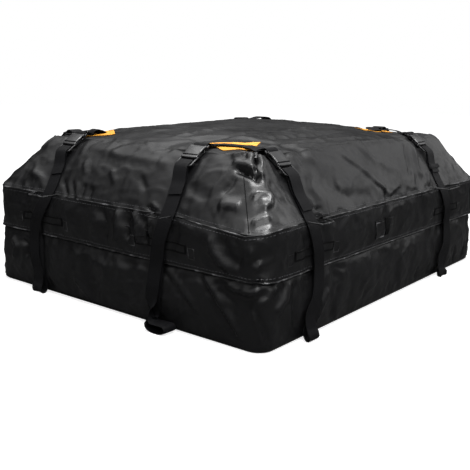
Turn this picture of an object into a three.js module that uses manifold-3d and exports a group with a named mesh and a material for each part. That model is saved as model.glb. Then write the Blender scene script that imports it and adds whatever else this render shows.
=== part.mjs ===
// Roof cargo bag of coated tarpaulin, filled, zipped shut and strapped down.
// Millimetres, +Z up. Origin at the middle of the base, +X along the long side.
// The front is the long side at -Y, the left is the short side at -X.
import * as THREE from 'three';
import { mergeVertices } from 'three/addons/utils/BufferGeometryUtils.js';
import Module from 'manifold-3d';

const wasm = await Module();
wasm.setup();

// Driving dimensions of the filled bag
const LENGTH = 1110;
const WIDTH = 904;
const SHOULDER_Z = 254;
const FLAP_EDGE_Z = 148;
const SLOPE_RISE = 132;
const SLOPE_INSET = 103;
const WALL_LEAN = 7;
const CROWN_RISE = 30;
const CROWN_SHARPNESS = 0.75;
const CORNER_RADIUS = 45;
const EDGE_RADIUS = 24;
const EDGE_ROLL = 4;

// Cloth and the room between pieces that touch
const CLOTH = 2;
const SEAM_GAP = 0.3;
const BASE_SEAM_Z = 12;
const BASE_CURL = 2;
const BASE_CURL_SHARE = 0.35;
const LOWER_SETBACK = 4;
const ZIP_SETBACK = 14;
const STEP_BELOW_FLAP = 8;
const STEP_ABOVE_FLAP = 6;

// Fullness, valleys under the straps, gathers and corner darts
const LOWER_BULGE = 9;
const UPPER_BULGE = 6;
const SLOPE_BULGE = 9;
const STRAP_VALLEY = 6;
const VALLEY_FLOOR = 34;
const VALLEY_REACH = 62;
const GATHER_DEPTH = 2.6;
const GATHER_PITCH = 96;
const GATHER_SPREAD = 0.16;
const DART_DEPTH = 13;
const DART_PUFF = 6;
const DART_LEVELS = [1.62, 1.9];
const DART_END_LEVEL = 2.07;
const ROLL_START = 0.9;

// Zip
const ZIP_ABOVE_FLAP = 44;
const CHAIN_GAP = 2;
const TAPE_WIDTH = 16;
const TAPE_THICK = 1.4;
const UPPER_TAPE_RISE = 22;
const LOWER_BAND_DROP = 8;
const SLIDER_LENGTH = 15;
const SLIDER_WIDTH = 11;
const SLIDER_PLATE = 1.5;
const SLIDER_CLEAR = 0.4;
const SLIDER_SPACING = 22;
const PULL_WIDTH = 12;
const PULL_LENGTH = 34;
const PULL_THICK = 1.4;

// Webbing and what is sewn to the cloth
const WEB_WIDTH = 38;
const WEB_THICK = 1.4;
const PATCH_THICK = 1.2;
const BAND_PATCH_LENGTH = 150;
const BAND_PATCH_HEIGHT = 19;
const BAND_PATCH_RISE = 42;
const TAB_WIDTH = 94;
const TAB_HEIGHT = 44;
const TAB_RISE = 45;
const TAB_PLACE = -68;
const CORNER_PATCH_FAR = 118;
const CORNER_PATCH_NEAR = 60;
const CORNER_PATCH_IN = 40;
const CORNER_PATCH_OUT = 45;
const CORNER_PATCH_TURN = 41 * Math.PI / 180;
const WEB_APEX_IN = 14;
const WEB_APEX_OUT = 51;
const WEB_APEX_FROM_EDGE = 102;
const WEB_EXIT = 18;
const WEB_PAST_BAR = 4;
const WEB_FOLD_CLEAR = 0.8;
const WEB_TOP_CLEAR = 1.5;
const WEB_TURN_STEPS = 8;

// Side-release buckle, along its own X from socket bar to the end of the clip
const BUCKLE_LENGTH = 76;
const BUCKLE_WIDTH = 50;
const BUCKLE_THICK = 12;
const MOUTH_X = 3;
const BAR_SIZE = 4;
const BAR_THICK = 3;
const SOCKET_SLOT = 5.5;
const RAIL = 4;
const POCKET_THICK = 6;
const POCKET_WALL = 3.5;
const PRONG_WIDTH = 5.5;
const PRONG_CLEAR = 0.5;
const TONGUE_WIDTH = 9;
const CLIP_SHOULDER = 9;
const LOCK_FRONT_SLOT = 6.5;
const LOCK_REAR_SLOT = 8;
const WINDOW_LENGTH = 13;
const BUCKLE_SEAT = 0.95;
const BUCKLE_CHORD = 0.6;
const SOCKET_WAIST = 3;
const SOCKET_BEVEL = 2;
const CLIP_BEVEL = 1.5;

// Where the straps stand: in from the ends of the sides, then from the middle of the bag
const LEFT_FROM_END = 177;
const RIGHT_FROM_END = 247;
const FRONT_FROM_END = 280;
const BACK_FROM_END = 212;
const LEFT_PLACE = -(LENGTH / 2 - LEFT_FROM_END);
const RIGHT_PLACE = LENGTH / 2 - RIGHT_FROM_END;
const FRONT_PLACE = -(WIDTH / 2 - FRONT_FROM_END);
const BACK_PLACE = WIDTH / 2 - BACK_FROM_END;
const STRAP_CLEAR = 1.7;
const SEWN_SLACK = 0.8;

// Drop of a buckle's middle below the top edge, and each strap's spare webbing
const LONG_SIDE_DROP = 24;
const SHORT_SIDE_DROP = 16;

const LONG_WALL = { half: WIDTH / 2, reach: LENGTH / 2 };
const SHORT_WALL = { half: LENGTH / 2, reach: WIDTH / 2 };
const SIDES = {
  front: { out: [0, -1], along: [1, 0], ...LONG_WALL, places: [LEFT_PLACE, RIGHT_PLACE] },
  right: { out: [1, 0], along: [0, 1], ...SHORT_WALL, places: [FRONT_PLACE, BACK_PLACE] },
  back: { out: [0, 1], along: [-1, 0], ...LONG_WALL, places: [-RIGHT_PLACE, -LEFT_PLACE] },
  left: { out: [-1, 0], along: [0, -1], ...SHORT_WALL, places: [-BACK_PLACE, -FRONT_PLACE] },
};

const LONG_SIDE = { drop: LONG_SIDE_DROP };
const SHORT_SIDE = { drop: SHORT_SIDE_DROP };
const STRAPS = [
  { name: 'front_left', side: 'front', place: LEFT_PLACE, ...LONG_SIDE, loop: 30, tail: 120, lean: -14 },
  { name: 'front_right', side: 'front', place: RIGHT_PLACE, ...LONG_SIDE, loop: 24, tail: 74, lean: 0 },
  { name: 'right_front', side: 'right', place: FRONT_PLACE, ...SHORT_SIDE, loop: 46, tail: 60, lean: 0 },
  { name: 'right_back', side: 'right', place: BACK_PLACE, ...SHORT_SIDE, loop: 22, tail: 66, lean: 0 },
  { name: 'back_right', side: 'back', place: -RIGHT_PLACE, ...LONG_SIDE, loop: 24, tail: 80, lean: 0 },
  { name: 'back_left', side: 'back', place: -LEFT_PLACE, ...LONG_SIDE, loop: 30, tail: 70, lean: 0 },
  { name: 'left_back', side: 'left', place: -BACK_PLACE, ...SHORT_SIDE, loop: 22, tail: 58, lean: 0 },
  { name: 'left_front', side: 'left', place: -FRONT_PLACE, ...SHORT_SIDE, loop: 46, tail: 64, lean: -14 },
];

const CORNERS = [
  { name: 'front_left', long: 'front_left', short: 'left_front', x: LEFT_PLACE, y: FRONT_PLACE },
  { name: 'front_right', long: 'front_right', short: 'right_front', x: RIGHT_PLACE, y: FRONT_PLACE },
  { name: 'back_right', long: 'back_right', short: 'right_back', x: RIGHT_PLACE, y: BACK_PLACE },
  { name: 'back_left', long: 'back_left', short: 'left_back', x: LEFT_PLACE, y: BACK_PLACE },
];

// Finishes
const tarpaulin = new THREE.MeshStandardMaterial({ color: 0x1d1d1e, roughness: 0.42, metalness: 0 });
const webbing = new THREE.MeshStandardMaterial({ color: 0x0c0c0d, roughness: 0.85, metalness: 0 });
const acetal = new THREE.MeshStandardMaterial({ color: 0x0a0a0b, roughness: 0.28, metalness: 0 });
const orangeCloth = new THREE.MeshStandardMaterial({ color: 0xf0a238, roughness: 0.6, metalness: 0 });
const zipCoil = new THREE.MeshStandardMaterial({ color: 0x151516, roughness: 0.6, metalness: 0 });

const group = new THREE.Group();

function addNode(name, geometry, material) {
  const mesh = new THREE.Mesh(geometry, material);
  mesh.name = name;
  group.add(mesh);
}

const lerp = THREE.MathUtils.lerp;
const smooth = (value, low, high) => THREE.MathUtils.smoothstep(value, low, high);

// Level 0 is the base, 1 the shoulder seam, 2 the top edge, and 3 the middle of the top
const levelOfZ = (z) => z / SHOULDER_Z;
const FLAP_LEVEL = levelOfZ(FLAP_EDGE_Z);
const EDGE_Z = SHOULDER_Z + SLOPE_RISE;
const ZIP_Z = FLAP_EDGE_Z + ZIP_ABOVE_FLAP;
const UPPER_TAPE_TOP_Z = ZIP_Z + UPPER_TAPE_RISE;
const LOWER_BAND_TOP_Z = ZIP_Z - LOWER_BAND_DROP;
const BAND_PATCH_Z = FLAP_EDGE_Z + BAND_PATCH_RISE;
const EDGE_HALF_X = LENGTH / 2 - WALL_LEAN - SLOPE_INSET;
const EDGE_HALF_Y = WIDTH / 2 - WALL_LEAN - SLOPE_INSET;

function crownHeight(x, y) {
  const roundX = Math.max(0, 1 - (x / EDGE_HALF_X) ** 2) ** CROWN_SHARPNESS;
  const roundY = Math.max(0, 1 - (y / EDGE_HALF_Y) ** 2) ** CROWN_SHARPNESS;
  return EDGE_Z - EDGE_ROLL + CROWN_RISE * roundX * roundY;
}

// Inset, height and corner radius of the outline at a level up to the top edge
function outlineAt(level) {
  if (level <= 1) {
    return { inset: WALL_LEAN * level, z: SHOULDER_Z * level, radius: CORNER_RADIUS };
  }
  const rise = Math.min(level, 2) - 1;
  const roll = EDGE_ROLL * smooth(rise, ROLL_START, 1);
  return {
    inset: WALL_LEAN + SLOPE_INSET * rise + roll,
    z: SHOULDER_Z + SLOPE_RISE * rise - roll,
    radius: lerp(CORNER_RADIUS, EDGE_RADIUS, rise),
  };
}

// The way the cloth faces at a level, as a turn up from level ground
function facingAt(level) {
  const slopeTurn = Math.atan2(SLOPE_INSET, SLOPE_RISE);
  if (level <= 1) return 0;
  if (level < 2) return slopeTurn;
  return level === 2 ? (slopeTurn + Math.PI / 2) / 2 : Math.PI / 2;
}

// How far the filling pushes the cloth out, or a strap, gather or dart draws it in
function swellAt(column, level) {
  if (column.side === undefined) {
    const dartWeight = column.share === 0.5 ? -DART_DEPTH : DART_PUFF;
    return dartWeight * smooth(level, ...DART_LEVELS) * (1 - smooth(level, 2, DART_END_LEVEL));
  }
  const side = SIDES[column.side];
  const straight = side.reach - CORNER_RADIUS;
  const fullness = 1 - (column.s / straight) ** 2;
  let bulge = 0;
  if (level < FLAP_LEVEL) bulge = LOWER_BULGE * Math.sin(Math.PI * level / FLAP_LEVEL);
  else if (level < 1) bulge = UPPER_BULGE * Math.sin(Math.PI * (level - FLAP_LEVEL) / (1 - FLAP_LEVEL));
  else if (level < 2) bulge = SLOPE_BULGE * Math.sin(Math.PI * (level - 1));
  let valley = 0;
  for (const place of side.places) {
    valley = Math.max(valley, 1 - smooth(Math.abs(column.s - place), VALLEY_FLOOR, VALLEY_REACH));
  }
  const valleyShare = 0.5 * smooth(level, 0.2, 1) + 0.5 * smooth(level, 1.5, 2)
    - smooth(level, 2, DART_END_LEVEL);
  const gather = GATHER_DEPTH * Math.cos(2 * Math.PI * column.s / GATHER_PITCH)
    * Math.exp(-(((level - 1) / GATHER_SPREAD) ** 2)) * (1 - valley);
  return bulge * fullness - STRAP_VALLEY * valley * valleyShare + gather;
}

// Columns that run up the cloth, close together at the straps
function columnsOfSide(name) {
  const side = SIDES[name];
  const straight = side.reach - CORNER_RADIUS;
  const stops = [-straight, straight];
  for (const place of side.places) {
    for (const shift of [-VALLEY_REACH, -VALLEY_FLOOR, VALLEY_FLOOR, VALLEY_REACH]) {
      stops.push(THREE.MathUtils.clamp(place + shift, -straight, straight));
    }
  }
  const sorted = [...new Set(stops)].sort((a, b) => a - b);
  const filled = [sorted[0]];
  for (let i = 1; i < sorted.length; i += 1) {
    const span = sorted[i] - sorted[i - 1];
    const steps = span > 2 * VALLEY_FLOOR ? Math.ceil(span / GATHER_PITCH) : 1;
    for (let k = 1; k <= steps; k += 1) filled.push(sorted[i - 1] + span * k / steps);
  }
  return filled.map((s) => ({ side: name, s }));
}

const CORNER_SHARES = [0.25, 0.5, 0.75];
const columns = [];
const sideNames = Object.keys(SIDES);
sideNames.forEach((name, index) => {
  columns.push(...columnsOfSide(name));
  const next = sideNames[(index + 1) % sideNames.length];
  for (const share of CORNER_SHARES) columns.push({ from: name, to: next, share });
});

// Place along a side, drawn in past the straps where the outline gets shorter
function shiftedPlace(side, s, level) {
  const outline = outlineAt(level);
  const straightHere = side.reach - outline.inset - outline.radius;
  const straightBase = side.reach - CORNER_RADIUS;
  const held = Math.max(...side.places.map(Math.abs)) + VALLEY_FLOOR;
  if (Math.abs(s) <= held || straightBase === held) return Math.min(Math.abs(s), straightHere) * Math.sign(s);
  const past = (Math.abs(s) - held) / (straightBase - held);
  return Math.sign(s) * lerp(held, straightHere, past);
}

// A point of the skin, `depth` under its outer face; `follow` is the share of swell it takes
function skinPoint(column, level, depth, follow = 1) {
  const ringLevel = Math.min(level, 2);
  const outline = outlineAt(ringLevel);
  const facing = facingAt(level);
  const swell = swellAt(column, level) * follow - depth;
  let outX;
  let outY;
  let x;
  let y;
  if (column.side !== undefined) {
    const side = SIDES[column.side];
    const s = shiftedPlace(side, column.s, ringLevel);
    [outX, outY] = side.out;
    x = side.out[0] * (side.half - outline.inset) + side.along[0] * s;
    y = side.out[1] * (side.half - outline.inset) + side.along[1] * s;
  } else {
    const from = SIDES[column.from];
    const turn = column.share * Math.PI / 2;
    outX = from.out[0] * Math.cos(turn) + from.along[0] * Math.sin(turn);
    outY = from.out[1] * Math.cos(turn) + from.along[1] * Math.sin(turn);
    const cornerX = from.out[0] + from.along[0];
    const cornerY = from.out[1] + from.along[1];
    x = cornerX * (LENGTH / 2 - outline.inset - outline.radius) + outX * outline.radius;
    y = cornerY * (WIDTH / 2 - outline.inset - outline.radius) + outY * outline.radius;
  }
  if (level > 2) {
    const shrink = 3 - level;
    x *= shrink;
    y *= shrink;
    return new THREE.Vector3(x, y, crownHeight(x, y) + swell);
  }
  const sideways = swell * Math.cos(facing);
  return new THREE.Vector3(x + outX * sideways, y + outY * sideways, outline.z + swell * Math.sin(facing));
}

// Closed body between an outer and an inner net of rows; a last row of one point closes it
function shellBody(outerRows, innerRows) {
  const points = [];
  const faces = [];
  const count = outerRows[0].length;
  const starts = (rows) => rows.map((row) => {
    const start = points.length;
    points.push(...row);
    return { start, size: row.length };
  });
  const outer = starts(outerRows);
  const inner = starts(innerRows);
  const strip = (low, high, flip) => {
    for (let i = 0; i < count; i += 1) {
      const j = (i + 1) % count;
      const a = low.start + i;
      const b = low.start + j;
      const c = high.size === 1 ? high.start : high.start + j;
      const d = high.size === 1 ? high.start : high.start + i;
      const tris = high.size === 1 ? [[a, b, c]] : [[a, b, c], [a, c, d]];
      for (const [p, q, r] of tris) faces.push(...(flip ? [p, r, q] : [p, q, r]));
    }
  };
  for (let k = 0; k + 1 < outer.length; k += 1) strip(outer[k], outer[k + 1], false);
  for (let k = 0; k + 1 < inner.length; k += 1) strip(inner[k], inner[k + 1], true);
  strip(outer[0], inner[0], true);
  const last = outer.length - 1;
  if (outer[last].size > 1) strip(outer[last], inner[last], false);
  return indexedGeometry(points, faces);
}

function indexedGeometry(points, faces) {
  const geometry = new THREE.BufferGeometry();
  const numbers = points.flatMap((p) => [p.x, p.y, p.z]);
  geometry.setAttribute('position', new THREE.Float32BufferAttribute(numbers, 3));
  geometry.setIndex(faces);
  return geometry;
}

const ringOf = (level, depth, follow = 1) => columns.map((column) => skinPoint(column, level, depth, follow));

// Base panel: flat on the ground, curled up at its rim to the base seam
function makeBasePanel() {
  const rimLevel = levelOfZ(BASE_SEAM_Z);
  const flatRing = (depth, z) => ringOf(0, depth, 0).map((p) => p.setZ(z));
  const rim = LOWER_SETBACK;
  const curlZ = BASE_SEAM_Z * BASE_CURL_SHARE;
  const outerRows = [
    ringOf(rimLevel, rim, 0), flatRing(rim + BASE_CURL, curlZ), flatRing(rim + BASE_SEAM_Z, 0),
    [new THREE.Vector3(0, 0, 0)],
  ];
  const innerRows = [
    ringOf(rimLevel, rim + CLOTH, 0), flatRing(rim + BASE_CURL + CLOTH, curlZ + CLOTH),
    flatRing(rim + BASE_SEAM_Z + CLOTH / 2, CLOTH), [new THREE.Vector3(0, 0, CLOTH)],
  ];
  const flip = (rows) => rows.map((row) => [...row].reverse());
  return shellBody(flip(outerRows), flip(innerRows));
}

// Lower band: stands proud to the flap's edge, then steps in behind the flap to carry the zip
const LOWER_BAND_SHARES = [0.22, 0.48, 0.74];
function makeLowerBand() {
  const profile = [
    { z: BASE_SEAM_Z + SEAM_GAP, depth: LOWER_SETBACK, follow: 0 },
    ...LOWER_BAND_SHARES.map((share) => ({ z: FLAP_EDGE_Z * share, depth: LOWER_SETBACK, follow: 1 })),
    { z: FLAP_EDGE_Z - STEP_BELOW_FLAP, depth: LOWER_SETBACK + 1, follow: 1 },
    { z: FLAP_EDGE_Z + STEP_ABOVE_FLAP, depth: ZIP_SETBACK, follow: 0 },
    { z: LOWER_BAND_TOP_Z, depth: ZIP_SETBACK, follow: 0 },
  ];
  const rows = (extra) => profile.map((p) => ringOf(levelOfZ(p.z), p.depth + extra, p.follow));
  return shellBody(rows(0), rows(CLOTH));
}

// Upper band: from the free edge of the storm flap up to the shoulder seam
const UPPER_BAND_ROWS = [FLAP_EDGE_Z, (FLAP_EDGE_Z + ZIP_Z) / 2, ZIP_Z, UPPER_TAPE_TOP_Z,
  (UPPER_TAPE_TOP_Z + SHOULDER_Z) / 2, SHOULDER_Z - SEAM_GAP / 2];
function makeUpperBand() {
  const rows = (depth) => UPPER_BAND_ROWS.map((z) => ringOf(levelOfZ(z), depth));
  return shellBody(rows(0), rows(CLOTH));
}

// Top cover: four slopes and the domed top, cut and darted from one sheet
const SLOPE_LEVELS = [1.1, 1.3, 1.5, 1.7, 1.86, 2];
const CROWN_LEVELS = [DART_END_LEVEL, 2.2, 2.45, 2.75];
function makeTopCover() {
  const hem = (depth) => ringOf(1, depth).map((p) => p.setZ(SHOULDER_Z + SEAM_GAP / 2));
  const crown = crownHeight(0, 0);
  const levels = [...SLOPE_LEVELS, ...CROWN_LEVELS];
  const rows = (depth) => [hem(depth), ...levels.map((level) => ringOf(level, depth)),
    [new THREE.Vector3(0, 0, crown - depth)]];
  return shellBody(rows(0), rows(CLOTH));
}

// The zip's two tapes, each with its half of the chain along its free edge
function tapeRing(profileOuter) {
  const outerRows = profileOuter.map((p) => ringOf(levelOfZ(p.z), p.depth, p.follow));
  const innerRows = profileOuter.map((p) => ringOf(levelOfZ(p.z), p.depth + TAPE_THICK, p.follow));
  return shellBody(outerRows, innerRows);
}
const TAPE_DEPTH = ZIP_SETBACK - SEAM_GAP - TAPE_THICK;
const makeLowerTape = () => tapeRing([
  { z: ZIP_Z - CHAIN_GAP / 2 - TAPE_WIDTH, depth: TAPE_DEPTH, follow: 0 },
  { z: ZIP_Z - CHAIN_GAP / 2, depth: TAPE_DEPTH, follow: 0 },
]);
const makeUpperTape = () => tapeRing([
  { z: ZIP_Z + CHAIN_GAP / 2, depth: TAPE_DEPTH, follow: 0 },
  { z: ZIP_Z + SLIDER_WIDTH / 2 + 1, depth: TAPE_DEPTH, follow: 0 },
  { z: UPPER_TAPE_TOP_Z, depth: CLOTH + SEAM_GAP, follow: 1 },
]);

// Solid helpers
function toSolid(geometry) {
  const bare = geometry.clone();
  bare.deleteAttribute('normal');
  bare.deleteAttribute('uv');
  const merged = mergeVertices(bare, 1e-4);
  return new wasm.Manifold(new wasm.Mesh({
    numProp: 3,
    vertProperties: new Float32Array(merged.attributes.position.array),
    triVerts: new Uint32Array(merged.index.array),
  }));
}

function fromSolid(solid) {
  const mesh = solid.getMesh();
  const geometry = new THREE.BufferGeometry();
  geometry.setAttribute('position', new THREE.BufferAttribute(mesh.vertProperties, 3));
  geometry.setIndex(new THREE.BufferAttribute(mesh.triVerts, 1));
  return geometry;
}

function boxSolid(lowX, highX, lowY, highY, lowZ, highZ) {
  const box = new THREE.BoxGeometry(highX - lowX, highY - lowY, highZ - lowZ);
  box.translate((lowX + highX) / 2, (lowY + highY) / 2, (lowZ + highZ) / 2);
  return toSolid(box);
}

// Plate of an outline in XY, from z = -thick/2 to z = +thick/2
function plateSolid(points, thick, bevel = 0) {
  const shape = new THREE.Shape(points.map(([x, y]) => new THREE.Vector2(x, y)));
  const geometry = new THREE.ExtrudeGeometry(shape, {
    depth: thick - 2 * bevel, bevelEnabled: bevel > 0, bevelSize: bevel, bevelThickness: bevel,
    bevelOffset: -bevel, bevelSegments: 1, steps: 1,
  });
  geometry.translate(0, 0, bevel - thick / 2);
  return toSolid(geometry);
}

// The side's own frame: `out` from the bag's middle, `s` along the side, and height
function sidePoint(sideName, out, s, z) {
  const side = SIDES[sideName];
  return new THREE.Vector3(side.out[0] * out + side.along[0] * s, side.out[1] * out + side.along[1] * s, z);
}

// Section of the skin at a strap, from the base up over the top, as flat [out, z] points
const CROWN_SHRINKS = [0.93, 0.8, 0.6, 0.4];
const SHOULDER_INDEX = 1 + UPPER_BAND_ROWS.length;
function skinSection(sideName, place) {
  const side = SIDES[sideName];
  const column = { side: sideName, s: place };
  const outOf = (p) => p.x * side.out[0] + p.y * side.out[1];
  const levels = [0, FLAP_LEVEL / 2, ...UPPER_BAND_ROWS.map(levelOfZ), ...SLOPE_LEVELS];
  const section = levels.map((level) => {
    const p = skinPoint(column, level, 0);
    return new THREE.Vector2(outOf(p), p.z);
  });
  const edgeOut = section[section.length - 1].x;
  for (const shrink of CROWN_SHRINKS) {
    const p = sidePoint(sideName, edgeOut * shrink, place, 0);
    section.push(new THREE.Vector2(edgeOut * shrink, crownHeight(p.x, p.y)));
  }
  return section;
}

const TANGENT_REACH = 6;

// Walks a section from its top edge: positive down the slope, negative in over the top
class SectionWalk {
  constructor(sideName, place) {
    this.points = skinSection(sideName, place);
    this.reach = [0];
    for (let i = 1; i < this.points.length; i += 1) {
      this.reach.push(this.reach[i - 1] + this.points[i].distanceTo(this.points[i - 1]));
    }
    this.edge = this.points.length - 1 - CROWN_SHRINKS.length;
  }

  at(drop) {
    const target = this.reach[this.edge] - drop;
    let i = 1;
    while (i < this.points.length - 1 && this.reach[i] < target) i += 1;
    const share = (target - this.reach[i - 1]) / (this.reach[i] - this.reach[i - 1]);
    return this.points[i - 1].clone().lerp(this.points[i], share);
  }

  lifted(drop, height) {
    const tangent = this.at(drop + TANGENT_REACH).sub(this.at(drop - TANGENT_REACH)).normalize();
    return this.at(drop).add(new THREE.Vector2(-tangent.y, tangent.x).multiplyScalar(height));
  }
}

// Flat frame of a buckle on a section: X away from the top, Z off the cloth, seated on its proudest spot
function buckleFrame(walk, drop) {
  const half = BUCKLE_LENGTH / 2;
  const chord = half * BUCKLE_CHORD;
  const axis = walk.at(drop + chord).sub(walk.at(drop - chord)).normalize();
  const off = new THREE.Vector2(-axis.y, axis.x);
  const middle = walk.at(drop);
  let proud = 0;
  for (let step = -half - TANGENT_REACH; step <= half + TANGENT_REACH; step += 3) {
    proud = Math.max(proud, walk.at(drop + step).sub(middle).dot(off));
  }
  const origin = middle.clone().addScaledVector(off, proud + BUCKLE_SEAT + BUCKLE_THICK / 2);
  const place = (x, z) => origin.clone().addScaledVector(axis, x).addScaledVector(off, z);
  return { axis, off, origin, place };
}

// Flat webbing swept along a line, each stop with its own crosswise direction
function webbingBody(line, crosses) {
  const points = [];
  const faces = [];
  const last = line.length - 1;
  line.forEach((p, i) => {
    const before = line[Math.max(0, i - 1)];
    const after = line[Math.min(last, i + 1)];
    const inTangent = p.clone().sub(before);
    const outTangent = after.clone().sub(p);
    if (i === 0) inTangent.copy(outTangent);
    if (i === last) outTangent.copy(inTangent);
    inTangent.normalize();
    outTangent.normalize();
    const tangent = inTangent.clone().add(outTangent).normalize();
    const cross = crosses[i].clone().normalize();
    const normal = tangent.clone().cross(cross).normalize();
    const mitre = 1 / Math.max(0.55, tangent.dot(inTangent));
    for (const [w, t] of [[-1, -1], [1, -1], [1, 1], [-1, 1]]) {
      points.push(p.clone().addScaledVector(cross, w * WEB_WIDTH / 2)
        .addScaledVector(normal, t * mitre * WEB_THICK / 2));
    }
  });
  for (let i = 0; i < last; i += 1) {
    for (let k = 0; k < 4; k += 1) {
      const a = 4 * i + k;
      const b = 4 * i + (k + 1) % 4;
      faces.push(a, b, b + 4, a, b + 4, a + 4);
    }
  }
  faces.push(0, 2, 1, 0, 3, 2);
  const end = 4 * last;
  faces.push(end, end + 1, end + 2, end, end + 2, end + 3);
  return indexedGeometry(points, faces);
}

// Buckle solids in their own frame
const BUCKLE_HALF = BUCKLE_LENGTH / 2;
const SOCKET_BODY_X = -BUCKLE_HALF + BAR_SIZE + SOCKET_SLOT;
const SLOT_HALF = BUCKLE_WIDTH / 2 - RAIL;
const THROUGH = [-BUCKLE_THICK, BUCKLE_THICK];

function makeSocket() {
  const wide = BUCKLE_WIDTH / 2;
  const waist = wide - SOCKET_WAIST;
  const outline = [
    [-BUCKLE_HALF, -waist], [-BUCKLE_HALF + 3, -wide], [SOCKET_BODY_X, -wide], [SOCKET_BODY_X + 5, -waist],
    [MOUTH_X - 5, -waist], [MOUTH_X, -wide + 1], [MOUTH_X, wide - 1], [MOUTH_X - 5, waist],
    [SOCKET_BODY_X + 5, waist], [SOCKET_BODY_X, wide], [-BUCKLE_HALF + 3, wide], [-BUCKLE_HALF, waist],
  ];
  const pocketHalf = waist - POCKET_WALL;
  const pocketX = SOCKET_BODY_X + POCKET_WALL;
  const pocketZ = [-POCKET_THICK / 2, POCKET_THICK / 2];
  const windowX = pocketX + 2;
  const past = wide + 1;
  return plateSolid(outline, BUCKLE_THICK, SOCKET_BEVEL)
    .subtract(boxSolid(-BUCKLE_HALF - 1, SOCKET_BODY_X - 1, -past, past, BAR_THICK / 2, BUCKLE_THICK))
    .subtract(boxSolid(-BUCKLE_HALF - 1, SOCKET_BODY_X - 1, -past, past, -BUCKLE_THICK, -BAR_THICK / 2))
    .subtract(boxSolid(-BUCKLE_HALF + BAR_SIZE, SOCKET_BODY_X, -SLOT_HALF, SLOT_HALF, ...THROUGH))
    .subtract(boxSolid(pocketX, MOUTH_X + 1, -pocketHalf, pocketHalf, ...pocketZ))
    .subtract(boxSolid(windowX, windowX + WINDOW_LENGTH, -past, past, ...pocketZ));
}

function makeClip() {
  const wide = BUCKLE_WIDTH / 2;
  const shoulderX = MOUTH_X + PRONG_CLEAR;
  const lockX = shoulderX + CLIP_SHOULDER;
  const pocketHalf = wide - SOCKET_WAIST - POCKET_WALL;
  const tipX = SOCKET_BODY_X + POCKET_WALL + PRONG_CLEAR;
  const prongOut = pocketHalf - PRONG_CLEAR;
  const prongThick = POCKET_THICK - 2 * PRONG_CLEAR;
  const prong = (sign) => plateSolid([
    [shoulderX + 1, sign * (prongOut - 1)], [shoulderX + 1, sign * (prongOut - 1 - PRONG_WIDTH)],
    [tipX + 9, sign * (prongOut - PRONG_WIDTH)], [tipX, sign * (prongOut - PRONG_WIDTH)],
    [tipX, sign * (prongOut - 2.5)], [tipX + 3, sign * prongOut], [tipX + 12, sign * prongOut],
  ], prongThick);
  const frame = plateSolid([
    [shoulderX, -wide + 1], [lockX, -wide], [BUCKLE_HALF - 4, -wide], [BUCKLE_HALF, -wide + 4],
    [BUCKLE_HALF, wide - 4], [BUCKLE_HALF - 4, wide], [lockX, wide], [shoulderX, wide - 1],
  ], BAR_THICK);
  const shoulder = plateSolid([
    [shoulderX, -wide + 1], [lockX - 2, -wide + 2], [lockX, -wide + 6],
    [lockX, wide - 6], [lockX - 2, wide - 2], [shoulderX, wide - 1],
  ], BUCKLE_THICK - 2, CLIP_BEVEL);
  const tongue = plateSolid([
    [shoulderX + 1, -TONGUE_WIDTH / 2], [shoulderX + 1, TONGUE_WIDTH / 2],
    [tipX + 6, TONGUE_WIDTH / 2 - 1.5], [tipX + 6, -TONGUE_WIDTH / 2 + 1.5],
  ], prongThick);
  const midBarX = lockX + LOCK_FRONT_SLOT;
  const rearSlotX = midBarX + BAR_SIZE;
  return frame.add(shoulder).add(tongue).add(prong(1)).add(prong(-1))
    .subtract(boxSolid(lockX, midBarX, -SLOT_HALF, SLOT_HALF, ...THROUGH))
    .subtract(boxSolid(rearSlotX, rearSlotX + LOCK_REAR_SLOT, -SLOT_HALF, SLOT_HALF, ...THROUGH));
}

// Webbing round a bar, from under it round its near side and back over it, in the buckle's own [x, z]
const WRAP_LIFT = BAR_THICK / 2 + SEAM_GAP + WEB_THICK / 2;
function wrapPoints(barNearX, barFarX, turnSign) {
  const bow = barNearX - turnSign * WRAP_LIFT;
  return [
    [barFarX, -WRAP_LIFT], [barNearX, -WRAP_LIFT], [bow + turnSign * 0.7, -WRAP_LIFT * 0.55], [bow, 0],
    [bow + turnSign * 0.7, WRAP_LIFT * 0.55], [barNearX, WRAP_LIFT], [barFarX, WRAP_LIFT],
  ];
}

const straps = STRAPS.map((strap) => {
  const walk = new SectionWalk(strap.side, strap.place);
  return { ...strap, walk, frame: buckleFrame(walk, strap.drop) };
});

// A buckle's own frame as a matrix: X along the axis, Z off the cloth
function placedOnBuckle(geometry, strap) {
  const { axis, off, origin } = strap.frame;
  const matrix = new THREE.Matrix4();
  const axisX = sidePoint(strap.side, axis.x, 0, axis.y);
  const axisZ = sidePoint(strap.side, off.x, 0, off.y);
  const axisY = axisZ.clone().cross(axisX);
  matrix.makeBasis(axisX, axisY, axisZ);
  matrix.setPosition(sidePoint(strap.side, origin.x, strap.place, origin.y));
  return geometry.applyMatrix4(matrix);
}

// Heights where the inner strand is guided, the ground loop as [share of its reach, height], and
// how far the outer strand stands off the inner one
const STRAP_STOPS = [114, 76, 40];
const LOOP_SHAPE = [[0.4, 5.7], [0.75, 0], [1, 4], [0.98, 12.7], [0.72, 25.7]];
const OUTER_STOP_Z = 94;
const STRAND_APART = 5;
const TAIL_START = 18;
const TAIL_END = 6;
const TURN_BELOW_SHOULDER = 13;
const SLOPE_START = 16;
const CLIP_APPROACH = 22;
const CLIP_APPROACH_LEAST = 20;

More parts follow.
